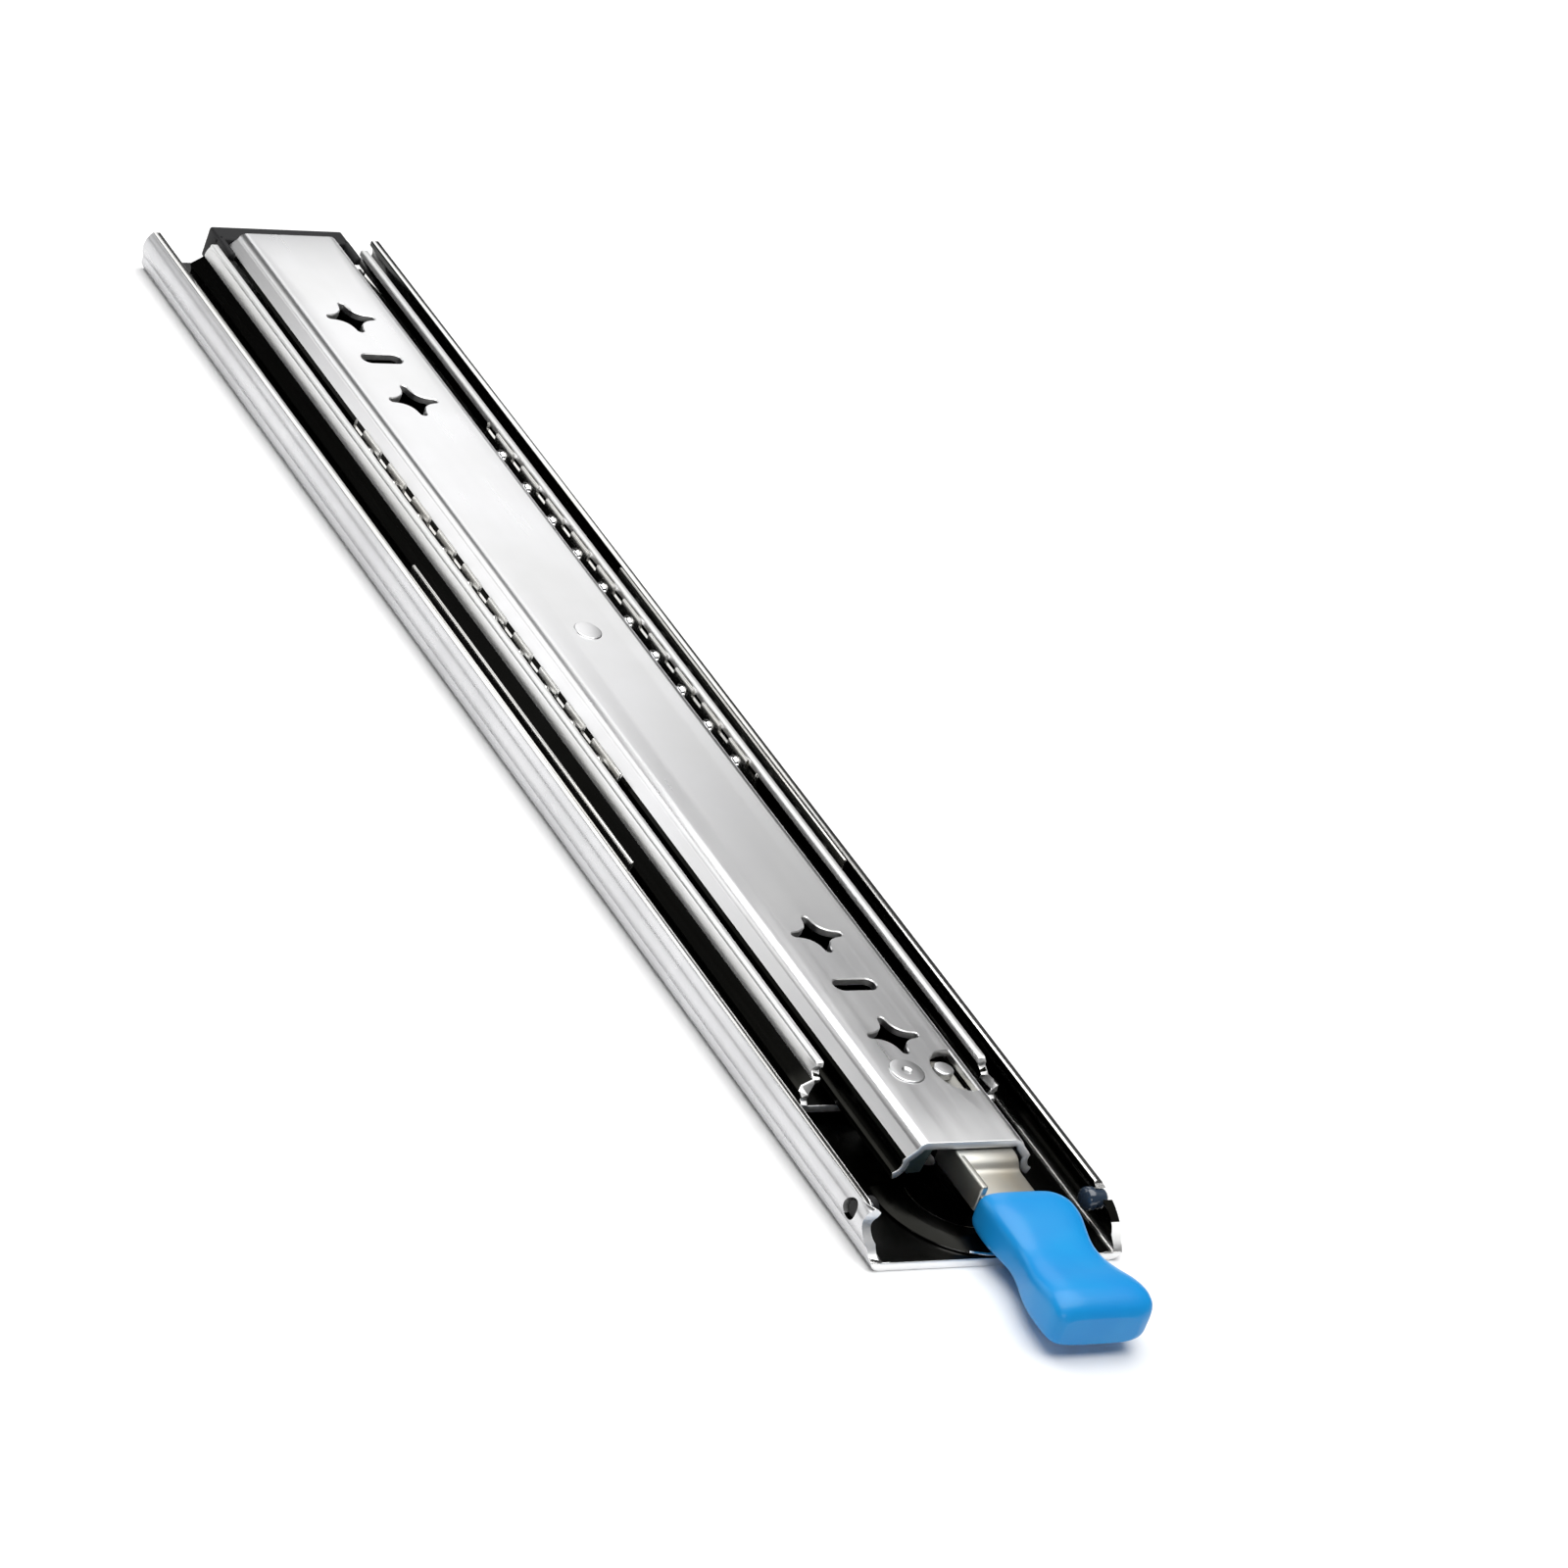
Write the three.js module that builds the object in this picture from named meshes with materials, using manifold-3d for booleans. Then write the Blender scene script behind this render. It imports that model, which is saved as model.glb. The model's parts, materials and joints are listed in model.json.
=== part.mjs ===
// Heavy-duty cabinet drawer slide: three nested channel members on ball races, with a lock lever.
// Millimetres. X runs across the slide, Y along it (the front is -Y), Z up from the cabinet face.
// The origin is the middle of the cabinet member's mounting face.
import * as THREE from 'three';
import { mergeVertices } from 'three/addons/utils/BufferGeometryUtils.js';
import Module from 'manifold-3d';

// ---------------------------------------------------------------- driving dimensions
const SLIDE_LENGTH = 450;        // cabinet member, front edge to rear edge
const SLIDE_WIDTH = 76.2;        // over the beads of the cabinet member's walls
const SLIDE_THICKNESS = 19.1;    // cabinet face to drawer face, closed

const CABINET_SHEET = 2.5;
const MIDDLE_SHEET = 2.2;
const DRAWER_SHEET = 2.2;
const WEB_GAP = 2.1;             // between the cabinet web and the middle web
const CABINET_LIP_HEIGHT = 12;
const MIDDLE_LIP_HEIGHT = 16.6;

const OUTER_BALL_DIAMETER = 6.35;
const INNER_BALL_DIAMETER = 5;
const RACE_CLEARANCE = 0.15;     // ball surface to race surface
const BALL_ROW_PITCH = 10.98;    // across, from the outer ball row to the inner one
const OUTER_BALL_HEIGHT = 7.6;
const INNER_BALL_HEIGHT = 12.9;

const MIDDLE_FRONT_SETBACK = 56; // behind the cabinet member's front edge
const MIDDLE_REAR_SETBACK = 13;
const DRAWER_FRONT_SETBACK = 24.5;
const DRAWER_REAR_SETBACK = 10.5;
const MIDDLE_TRAVEL = 262;
const DRAWER_TRAVEL = 186;

const FIT_GAP = 0.3;             // between pieces that touch or seat on each other
const RIVET_SINK = 0.05;         // rivet heads stand this far below the face they sit in
const RIVET_HEAD_DEPTH = 0.8;

const STAR_TIP_RADIUS = 7.5;     // star hole, centre to tip
const STAR_TIP_HALF_WIDTH = 1;
const STAR_WAIST = 2.4;          // pull of the star's hollow sides towards its centre
const SLOT_LENGTH = 12.6;
const SLOT_WIDTH = 4.6;
const HOLE_PITCH = 21;           // star to slot to star
const HOLE_GROUP_SETBACK = 43;   // first star, from the drawer member's end
const MOUNTING_HOLE_DIAMETER = 6.5;
const ACCESS_SLOT_LENGTH = 40;
const ACCESS_SLOT_WIDTH = 14;

const PIVOT_X = -4.1;
const PIVOT_SETBACK = 28.3;      // lever pivot, behind the drawer web's front edge
const PIVOT_HEAD_DIAMETER = 9.6;
const PIVOT_SHANK_DIAMETER = 6;
const STOP_PIN_ARM = 12.1;        // stop pin, to the right of the pivot
const STOP_PIN_DIAMETER = 5.4;
const WINDOW_LENGTH = 16.5;
const WINDOW_WIDTH = 8.6;
const LEVER_SHEET = 2;
const LEVER_WIDTH = 17.1;        // lever bar, across
const LEVER_STEP_DOWN = 2.6;     // bar below the hub plate
const LEVER_WALL_DEPTH = 7.6;
const HANDLE_LENGTH = 47;
const HANDLE_BULB_WIDTH = 26;
const HANDLE_WAIST_WIDTH = 22.6;
const HANDLE_END_WIDTH = 31;
const HANDLE_THICKNESS = 13.6;
const HANDLE_BOTTOM = 2.9;
const HANDLE_EDGE_RADIUS = 3;
const RIVET_SIDES = 20;

const CATCH_INNER_RADIUS = 13.5;
const CATCH_OUTER_RADIUS = 23;
const CATCH_HEIGHT = 1.5;

const CAGE_SHEET = 0.9;
const CAGE_BALL_PITCH = 16;
const OUTER_CAGE_BALLS = 8;
const INNER_CAGE_BALLS = 10;
const INNER_CAGE_FRONT = -44;    // y of the inner cages' front end, closed
const CAGE_END_MARGIN = 11;      // cage end to its first ball
const CAGE_WINDOW_SIDES = 8;
const CAGE_BALL_GAP = 0.25;      // ball to the rim of its window
const BUMPER_DEPTH = 7;

// ---------------------------------------------------------------- derived places
const FRONT = -SLIDE_LENGTH / 2;
const REAR = SLIDE_LENGTH / 2;
const MIDDLE_FRONT = FRONT + MIDDLE_FRONT_SETBACK;
const MIDDLE_REAR = REAR - MIDDLE_REAR_SETBACK;
const DRAWER_FRONT = FRONT + DRAWER_FRONT_SETBACK;
const DRAWER_REAR = REAR - DRAWER_REAR_SETBACK;
const OUTER_RACE = OUTER_BALL_DIAMETER / 2 + RACE_CLEARANCE;
const INNER_RACE = INNER_BALL_DIAMETER / 2 + RACE_CLEARANCE;
const OUTER_BALL_X = SLIDE_WIDTH / 2 - CABINET_SHEET - OUTER_RACE;
const INNER_BALL_X = OUTER_BALL_X - BALL_ROW_PITCH;
const MIDDLE_WEB_TOP = CABINET_SHEET + WEB_GAP + MIDDLE_SHEET;
const DRAWER_WEB_BOTTOM = SLIDE_THICKNESS - DRAWER_SHEET;
const PIVOT_Y = DRAWER_FRONT + PIVOT_SETBACK;
const LEVER_TOP = DRAWER_WEB_BOTTOM - FIT_GAP;
const LEVER_BOTTOM = LEVER_TOP - LEVER_SHEET;
const LEVER_LEFT = PIVOT_X - 0.4;

// ---------------------------------------------------------------- materials
const zinc = (color, roughness) => new THREE.MeshStandardMaterial({ color, roughness, metalness: 1 });
const BRIGHT_ZINC = zinc(0xd8dadc, 0.22);
const SATIN_ZINC = zinc(0xc6c8ca, 0.34);
const CAGE_STEEL = zinc(0xb9bbbd, 0.4);
const BALL_STEEL = zinc(0xe4e6e8, 0.1);
const LEVER_STEEL = zinc(0xb4ad9f, 0.38);
const SPRING_STEEL = zinc(0x9a9a9a, 0.35);
const BLUE_PLASTIC = new THREE.MeshStandardMaterial({ color: 0x288cdc, roughness: 0.32, metalness: 0 });
const BLACK_RUBBER = new THREE.MeshStandardMaterial({ color: 0x17181a, roughness: 0.6, metalness: 0 });

const group = new THREE.Group();

function addPiece(name, geometry, material) {
  const mesh = new THREE.Mesh(geometry, material);
  mesh.name = name;
  group.add(mesh);
  return mesh;
}

// ---------------------------------------------------------------- solids and booleans
const wasm = await Module();
wasm.setup();

function toSolid(geometry) {
  const bare = geometry.clone();
  bare.deleteAttribute('normal');
  bare.deleteAttribute('uv');
  const merged = mergeVertices(bare, 1e-4);
  const vertProperties = new Float32Array(merged.attributes.position.array);
  const triVerts = new Uint32Array(merged.index.array);
  return new wasm.Manifold(new wasm.Mesh({ numProp: 3, vertProperties, triVerts }));
}

function toGeometry(solid) {
  const mesh = solid.getMesh();
  const geometry = new THREE.BufferGeometry();
  geometry.setAttribute('position', new THREE.BufferAttribute(new Float32Array(mesh.vertProperties), 3));
  geometry.setIndex(new THREE.BufferAttribute(new Uint32Array(mesh.triVerts), 1));
  return geometry;
}

function cut(geometry, tools) {
  return toGeometry(tools.reduce((solid, tool) => solid.subtract(toSolid(tool)), toSolid(geometry)));
}

function join(pieces) {
  return toGeometry(pieces.slice(1).reduce((solid, piece) => solid.add(toSolid(piece)), toSolid(pieces[0])));
}

// A box between two opposite corners.
function box(x0, x1, y0, y1, z0, z1) {
  const geometry = new THREE.BoxGeometry(x1 - x0, y1 - y0, z1 - z0);
  return geometry.translate((x0 + x1) / 2, (y0 + y1) / 2, (z0 + z1) / 2);
}

// A cylinder standing on Z, from z0 to z1.
function post(x, y, radius, z0, z1, sides = 12) {
  const geometry = new THREE.CylinderGeometry(radius, radius, z1 - z0, sides).rotateX(Math.PI / 2);
  return geometry.translate(x, y, (z0 + z1) / 2);
}

// A plan outline in X and Y, raised from z0 to z1.
function plate(shape, z0, z1) {
  return new THREE.ExtrudeGeometry(shape, { depth: z1 - z0, bevelEnabled: false, curveSegments: 5 })
    .translate(0, 0, z0);
}

// A section in X and Z, run along Y from y0 to y1.
function runAlong(shape, y0, y1) {
  return new THREE.ExtrudeGeometry(shape, { depth: y1 - y0, bevelEnabled: false })
    .rotateX(Math.PI / 2).translate(0, y1, 0);
}

// ---------------------------------------------------------------- sheet sections
const degrees = THREE.MathUtils.degToRad;

// Points on an arc from one angle to another, both in degrees.
function arc(x, z, radius, from, to, steps) {
  return Array.from({ length: steps + 1 }, (unused, i) => {
    const angle = degrees(from + (to - from) * i / steps);
    return new THREE.Vector2(x + radius * Math.cos(angle), z + radius * Math.sin(angle));
  });
}

// Closed outline of a sheet whose middle line is an open path: each point is offset to both sides.
function sheetOutline(path, thickness) {
  const side = (sign) => path.map((point, i) => {
    const before = path[Math.max(i - 1, 0)];
    const after = path[Math.min(i + 1, path.length - 1)];
    const into = i > 0 ? point.clone().sub(before).normalize() : after.clone().sub(point).normalize();
    const out = i < path.length - 1 ? after.clone().sub(point).normalize() : into;
    const along = into.clone().add(out).normalize();
    const mitre = thickness / 2 / Math.max(along.dot(into), 0.5);
    return new THREE.Vector2(point.x - along.y * mitre * sign, point.y + along.x * mitre * sign);
  });
  return new THREE.Shape([...side(-1), ...side(1).reverse()]);
}

// A symmetrical section from its right half, which starts on the centreline.
function symmetricSection(half, thickness) {
  const left = half.slice(1).reverse().map((point) => new THREE.Vector2(-point.x, point.y));
  return sheetOutline([...left, ...half], thickness);
}

// Cabinet member: flat web, square corner, beaded wall round the outer balls, upright lip.
function cabinetSection() {
  const radius = OUTER_RACE + CABINET_SHEET / 2;
  const corner = 1.9;
  const bead = arc(OUTER_BALL_X, OUTER_BALL_HEIGHT, radius, -38, 50, 7);
  const wall = bead[0].x;
  const lip = bead[bead.length - 1].x;
  const half = [
    new THREE.Vector2(0, CABINET_SHEET / 2),
    ...arc(wall - corner, CABINET_SHEET / 2 + corner, corner, -90, 0, 4),
    ...bead,
    new THREE.Vector2(lip, CABINET_LIP_HEIGHT),
  ];
  return symmetricSection(half, CABINET_SHEET);
}

// Middle member: an S-shaped wall, hollow outside for the outer balls and inside for the inner ones.
function middleSection() {
  const outerRadius = OUTER_RACE + MIDDLE_SHEET / 2;
  const innerRadius = INNER_RACE + MIDDLE_SHEET / 2;
  const webMiddle = MIDDLE_WEB_TOP - MIDDLE_SHEET / 2;
  const corner = 1.2;
  const outerGroove = arc(OUTER_BALL_X, OUTER_BALL_HEIGHT, outerRadius, 195, 150, 5);
  const innerGroove = arc(INNER_BALL_X, INNER_BALL_HEIGHT, innerRadius, -10, 42, 5);
  const cornerX = outerGroove[0].x - corner * Math.cos(degrees(20));
  const half = [
    new THREE.Vector2(0, webMiddle),
    ...arc(cornerX, webMiddle + corner, corner, -90, -20, 3),
    ...outerGroove.slice(1),
    ...innerGroove,
    new THREE.Vector2(innerGroove[innerGroove.length - 1].x, MIDDLE_LIP_HEIGHT),
  ];
  return symmetricSection(half, MIDDLE_SHEET);
}

// Drawer member: flat web on top, flanges that lean out and hook under the inner balls.
function drawerSection() {
  const radius = INNER_RACE + DRAWER_SHEET / 2;
  const corner = 1.7;
  const hook = arc(INNER_BALL_X, INNER_BALL_HEIGHT, radius, 165, 255, 8);
  const shoulder = hook[0].x - 2.8;
  const webMiddle = SLIDE_THICKNESS - DRAWER_SHEET / 2;
  const half = [
    new THREE.Vector2(0, webMiddle),
    ...arc(shoulder - corner, webMiddle - corner, corner, 90, 12, 4),
    ...hook,
  ];
  return symmetricSection(half, DRAWER_SHEET);
}

// ---------------------------------------------------------------- hole outlines
// Four-pointed star with blunt tips and hollow sides.
function starShape(x, y) {
  const shape = new THREE.Shape();
  const tip = (turn, side) => {
    const angle = turn * Math.PI / 2;
    const along = STAR_TIP_RADIUS - Math.abs(side) * 0.4;
    const across = side * STAR_TIP_HALF_WIDTH;
    return [x + along * Math.cos(angle) - across * Math.sin(angle),
      y + along * Math.sin(angle) + across * Math.cos(angle)];
  };
  shape.moveTo(...tip(0, -1));
  for (let turn = 0; turn < 4; turn += 1) {
    const half = (turn + 0.5) * Math.PI / 2;
    const waist = [x + STAR_WAIST * Math.cos(half), y + STAR_WAIST * Math.sin(half)];
    shape.lineTo(...tip(turn, 0));
    shape.lineTo(...tip(turn, 1));
    shape.quadraticCurveTo(...waist, ...tip(turn + 1, -1));
  }
  return shape;
}

// Slot with round ends, centred on x and y; its length runs along X, or along Y when turned.
function slotShape(x, y, length, width, alongY = false) {
  const reach = (length - width) / 2;
  const shape = new THREE.Shape();
  if (alongY) {
    shape.absarc(x, y + reach, width / 2, 0, Math.PI, false);
    shape.absarc(x, y - reach, width / 2, Math.PI, 2 * Math.PI, false);
  } else {
    shape.absarc(x - reach, y, width / 2, Math.PI / 2, 3 * Math.PI / 2, false);
    shape.absarc(x + reach, y, width / 2, -Math.PI / 2, Math.PI / 2, false);
  }
  shape.closePath();
  return shape;
}

// Window with a straight side at x, away from the pivot, and a side bowed towards the pivot.
function windowShape(x, y) {
  const shape = new THREE.Shape();
  const half = WINDOW_LENGTH / 2;
  const bow = WINDOW_WIDTH * 4 / 3;
  shape.moveTo(x, y + half);
  shape.bezierCurveTo(x - bow, y + half, x - bow, y - half, x, y - half);
  shape.closePath();
  return shape;
}

const CUT_DEPTH = 4;             // how far a cutting tool runs past the sheet it cuts

function throughDrawerWeb(shape) {
  return plate(shape, DRAWER_WEB_BOTTOM - CUT_DEPTH, SLIDE_THICKNESS + CUT_DEPTH);
}

// ---------------------------------------------------------------- cabinet member and its fittings
const STOP_SETBACK = 14;         // front bumper's hole, behind the cabinet member's front edge
const STOP_HEIGHT = 8.4;
const STOP_Y = FRONT + STOP_SETBACK;
const PEG_RADIUS = 2.5;
const CATCH_Y = FRONT + CATCH_OUTER_RADIUS + 0.5;
const CATCH_RIVET_RADIUS = 2.2;
const CATCH_RIVET_X = (CATCH_INNER_RADIUS + CATCH_OUTER_RADIUS) / 2 - 1;
const REAR_BUMPER_RIVET_RADIUS = 2;

function cabinetMember() {
  const tools = [];
  const holePlaces = [REAR - 40, REAR - 104, REAR - 168];
  for (const y of holePlaces) {
    tools.push(post(0, y, MOUNTING_HOLE_DIAMETER / 2, -CUT_DEPTH, CABINET_SHEET + WEB_GAP, 16));
    tools.push(post(0, -y, MOUNTING_HOLE_DIAMETER / 2, -CUT_DEPTH, CABINET_SHEET + WEB_GAP, 16));
  }
  for (const y of [REAR - 72, 72 - REAR]) {
    const slot = slotShape(0, y, SLOT_LENGTH, MOUNTING_HOLE_DIAMETER);
    tools.push(plate(slot, -CUT_DEPTH, CABINET_SHEET + WEB_GAP));
  }
  tools.push(post(0, MIDDLE_REAR + FIT_GAP + BUMPER_DEPTH / 2, REAR_BUMPER_RIVET_RADIUS + FIT_GAP,
    -CUT_DEPTH, CABINET_SHEET + 1, 12));
  for (const side of [-1, 1]) {
    tools.push(post(side * CATCH_RIVET_X, CATCH_Y, CATCH_RIVET_RADIUS + FIT_GAP, -CUT_DEPTH,
        CABINET_SHEET + 1, 12));
    tools.push(bumperHole(side), wallCorner(side));
  }
  return cut(runAlong(cabinetSection(), FRONT, REAR), tools);
}

// Hole in the wall for the front bumper's peg.
function bumperHole(side) {
  const length = 3 * CUT_DEPTH;
  return new THREE.CylinderGeometry(PEG_RADIUS + FIT_GAP, PEG_RADIUS + FIT_GAP, length, 12)
    .rotateZ(Math.PI / 2).translate(side * SLIDE_WIDTH / 2, STOP_Y, STOP_HEIGHT);
}

// What is taken off the wall's top front corner to leave it rounded.
function wallCorner(side) {
  const radius = CABINET_LIP_HEIGHT - CABINET_SHEET - 1;
  const shape = new THREE.Shape();
  shape.moveTo(FRONT - 1, CABINET_LIP_HEIGHT + 1);
  shape.lineTo(FRONT - 1, CABINET_LIP_HEIGHT - radius);
  shape.absarc(FRONT + radius, CABINET_LIP_HEIGHT - radius, radius, Math.PI, Math.PI / 2, true);
  shape.lineTo(FRONT + radius, CABINET_LIP_HEIGHT + 1);
  shape.closePath();
  const depth = 10;
  const geometry = new THREE.ExtrudeGeometry(shape, { depth, bevelEnabled: false, curveSegments: 6 });
  geometry.rotateX(Math.PI / 2).rotateZ(Math.PI / 2);
  geometry.translate(side * SLIDE_WIDTH / 2 - depth / 2, 0, 0);
  return geometry;
}

// Rubber bumper in the front end of the race; its peg fills the hole in the wall.
function frontBumper(side) {
  const inner = OUTER_BALL_X - 1.8;
  const seat = OUTER_BALL_X + 1;
  const head = PEG_RADIUS + FIT_GAP;
  const bumper = new THREE.LatheGeometry([
    new THREE.Vector2(0, inner),
    new THREE.Vector2(head - 0.6, inner),
    new THREE.Vector2(head, inner + 0.6),
    new THREE.Vector2(head, seat),
    new THREE.Vector2(PEG_RADIUS, seat),
    new THREE.Vector2(PEG_RADIUS, SLIDE_WIDTH / 2 - 1.2),
    new THREE.Vector2(0, SLIDE_WIDTH / 2 - 0.8),
  ], 12);
  bumper.rotateZ(-Math.PI / 2);
  if (side < 0) bumper.rotateZ(Math.PI);
  return bumper.translate(0, STOP_Y, STOP_HEIGHT);
}

// Horseshoe catch: a ring with a sloping outer edge, open towards the rear.
function lockCatch() {
  const bottom = CABINET_SHEET + FIT_GAP;
  const top = bottom + CATCH_HEIGHT;
  const ring = new THREE.LatheGeometry([
    new THREE.Vector2(CATCH_INNER_RADIUS, bottom),
    new THREE.Vector2(CATCH_OUTER_RADIUS, bottom),
    new THREE.Vector2(CATCH_OUTER_RADIUS, bottom + 0.4),
    new THREE.Vector2(CATCH_OUTER_RADIUS - 4, top),
    new THREE.Vector2(CATCH_INNER_RADIUS + 0.5, top),
    new THREE.Vector2(CATCH_INNER_RADIUS, top - 0.5),
    new THREE.Vector2(CATCH_INNER_RADIUS, bottom),
  ], 32).rotateX(Math.PI / 2).translate(0, CATCH_Y, 0);
  const rear = box(-CATCH_OUTER_RADIUS - 1, CATCH_OUTER_RADIUS + 1,
    CATCH_Y + 6, CATCH_Y + CATCH_OUTER_RADIUS + 1, 0, top + 1);
  const holes = [-1, 1].map((side) => post(side * CATCH_RIVET_X, CATCH_Y,
      CATCH_RIVET_RADIUS + FIT_GAP, 0, top + 1, 12));
  return cut(ring, [rear, ...holes]);
}

// Rivet with a head sunk into the drawer web, a shank, and a foot below.
function rivet(x, y, shank, head, bottom, foot, footTop) {
  const top = SLIDE_THICKNESS - RIVET_SINK;
  const under = SLIDE_THICKNESS - RIVET_HEAD_DEPTH;
  return new THREE.LatheGeometry([
    new THREE.Vector2(0, bottom),
    new THREE.Vector2(foot - 0.3, bottom),
    new THREE.Vector2(foot, bottom + 0.3),
    new THREE.Vector2(foot, footTop),
    new THREE.Vector2(shank, footTop),
    new THREE.Vector2(shank, under),
    new THREE.Vector2(head, under),
    new THREE.Vector2(head, top - 0.2),
    new THREE.Vector2(head - 0.3, top),
    new THREE.Vector2(0, top),
  ], RIVET_SIDES).rotateX(Math.PI / 2).translate(x, y, 0);
}

// Stepped hole in the drawer web for a sunk rivet.
function rivetSeat(x, y, shank, head) {
  const floor = SLIDE_THICKNESS - RIVET_HEAD_DEPTH - FIT_GAP;
  return [
    post(x, y, shank + FIT_GAP, DRAWER_WEB_BOTTOM - 1, SLIDE_THICKNESS + 1, RIVET_SIDES),
    post(x, y, head + FIT_GAP, floor, SLIDE_THICKNESS + 1, RIVET_SIDES),
  ];
}

// Flush rivet: a straight shank with one low head on top.
function flushRivet(x, y, shank, head, bottom, grip, top) {
  return new THREE.LatheGeometry([
    new THREE.Vector2(0, bottom),
    new THREE.Vector2(shank, bottom),
    new THREE.Vector2(shank, grip),
    new THREE.Vector2(head, grip),
    new THREE.Vector2(head, top - 0.3),
    new THREE.Vector2(head - 0.6, top),
    new THREE.Vector2(0, top),
  ], 12).rotateX(Math.PI / 2).translate(x, y, 0);
}

function rearBumper() {
  const y0 = MIDDLE_REAR + FIT_GAP;
  const half = 10;
  const block = plate(slotShape(0, y0 + BUMPER_DEPTH / 2, 2 * half, BUMPER_DEPTH),
    CABINET_SHEET + FIT_GAP, MIDDLE_WEB_TOP - 1);
  return cut(block, [post(0, y0 + BUMPER_DEPTH / 2, REAR_BUMPER_RIVET_RADIUS + FIT_GAP, 0,
      MIDDLE_WEB_TOP, 12)]);
}

addPiece('cabinet_member', cabinetMember(), BRIGHT_ZINC);
addPiece('lock_catch', lockCatch(), BRIGHT_ZINC);
for (const [label, side] of [['left', -1], ['right', 1]]) {
  const top = CABINET_SHEET + FIT_GAP + CATCH_HEIGHT;
  addPiece(`catch_rivet_${label}`, post(side * CATCH_RIVET_X, CATCH_Y, CATCH_RIVET_RADIUS, 0.2,
    top - RIVET_SINK), SATIN_ZINC);
  addPiece(`front_bumper_${label}`, frontBumper(side), BLACK_RUBBER);
}
addPiece('rear_bumper', rearBumper(), BLACK_RUBBER);
addPiece('rear_bumper_rivet', flushRivet(0, MIDDLE_REAR + FIT_GAP + BUMPER_DEPTH / 2,
    REAR_BUMPER_RIVET_RADIUS,
  REAR_BUMPER_RIVET_RADIUS + 1, 0.2, MIDDLE_WEB_TOP - 1 + FIT_GAP, MIDDLE_WEB_TOP), SATIN_ZINC);

// ---------------------------------------------------------------- middle member and its closing bumper
const FOOT_LENGTH = 16;
const FOOT_HALF_WIDTH = 9;
const FOOT_THICKNESS = 1.6;
const CLOSING_RIVET_Y = MIDDLE_REAR - 8;
const CLOSING_RIVET_RADIUS = 2;

function middleMember() {
  const tools = [post(0, CLOSING_RIVET_Y, CLOSING_RIVET_RADIUS + FIT_GAP, 0, MIDDLE_WEB_TOP + 1, 12)];
  const span = MIDDLE_REAR - MIDDLE_FRONT;
  for (const share of [0.15, 0.38, 0.62, 0.85]) {
    const slot = slotShape(0, MIDDLE_FRONT + span * share, ACCESS_SLOT_LENGTH, ACCESS_SLOT_WIDTH, true);
    tools.push(plate(slot, CABINET_SHEET, MIDDLE_WEB_TOP + 1));
  }
  return cut(runAlong(middleSection(), MIDDLE_FRONT, MIDDLE_REAR), tools);
}

// Bumper behind the drawer member: a foot on the middle web, an upright, and an arm along each flange.
function closingBumper() {
  const base = MIDDLE_WEB_TOP + FIT_GAP;
  const face = DRAWER_REAR + FIT_GAP;
  const armInner = INNER_BALL_X - INNER_RACE + 0.6;
  const armOuter = armInner + 1.9;
  const top = MIDDLE_LIP_HEIGHT;
  const armBottom = INNER_BALL_HEIGHT + 1.4;
  const pieces = [
    box(-FOOT_HALF_WIDTH, FOOT_HALF_WIDTH, MIDDLE_REAR - FOOT_LENGTH, face + BUMPER_DEPTH, base,
      base + FOOT_THICKNESS),
    box(-armOuter, armOuter, face, face + BUMPER_DEPTH, base, top),
    box(-armOuter, -armInner, face - 7, face + 1, armBottom, top),
    box(armInner, armOuter, face - 7, face + 1, armBottom, top),
  ];
  const hole = post(0, CLOSING_RIVET_Y, CLOSING_RIVET_RADIUS + FIT_GAP, 0, top, 12);
  return cut(join(pieces), [hole]);
}

addPiece('middle_member', middleMember(), BRIGHT_ZINC);
addPiece('closing_bumper', closingBumper(), BLACK_RUBBER);
addPiece('closing_bumper_rivet', flushRivet(0, CLOSING_RIVET_Y, CLOSING_RIVET_RADIUS,
    CLOSING_RIVET_RADIUS + 1.2,
  MIDDLE_WEB_TOP - MIDDLE_SHEET, MIDDLE_WEB_TOP + 2 * FIT_GAP + FOOT_THICKNESS,
  MIDDLE_WEB_TOP + 2 * FIT_GAP + FOOT_THICKNESS + 0.8), SATIN_ZINC);

// ---------------------------------------------------------------- drawer member
const STOP_RIVET_Y = (DRAWER_FRONT + DRAWER_REAR) / 2 + 11.6;
const STOP_RIVET_RADIUS = 2.5;
const WINDOW_X = PIVOT_X + STOP_PIN_ARM + STOP_PIN_DIAMETER / 2 + 2.1;
const WINDOW_Y = PIVOT_Y;

function drawerMember() {
  const tools = [];
  for (const [end, step] of [[DRAWER_FRONT, 1], [DRAWER_REAR, -1]]) {
    const first = end + step * HOLE_GROUP_SETBACK;
    const second = first + step * HOLE_PITCH;
    const third = second + step * HOLE_PITCH;
    tools.push(throughDrawerWeb(starShape(0, first)), throughDrawerWeb(starShape(0, third)));
    tools.push(throughDrawerWeb(slotShape(0, second, SLOT_LENGTH, SLOT_WIDTH)));
  }
  tools.push(throughDrawerWeb(windowShape(WINDOW_X, WINDOW_Y)));
  tools.push(...rivetSeat(PIVOT_X, PIVOT_Y, PIVOT_SHANK_DIAMETER / 2, PIVOT_HEAD_DIAMETER / 2));
  tools.push(...rivetSeat(0, STOP_RIVET_Y, STOP_RIVET_RADIUS, STOP_RIVET_RADIUS + 1.5));
  return cut(runAlong(drawerSection(), DRAWER_FRONT, DRAWER_REAR), tools);
}

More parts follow.
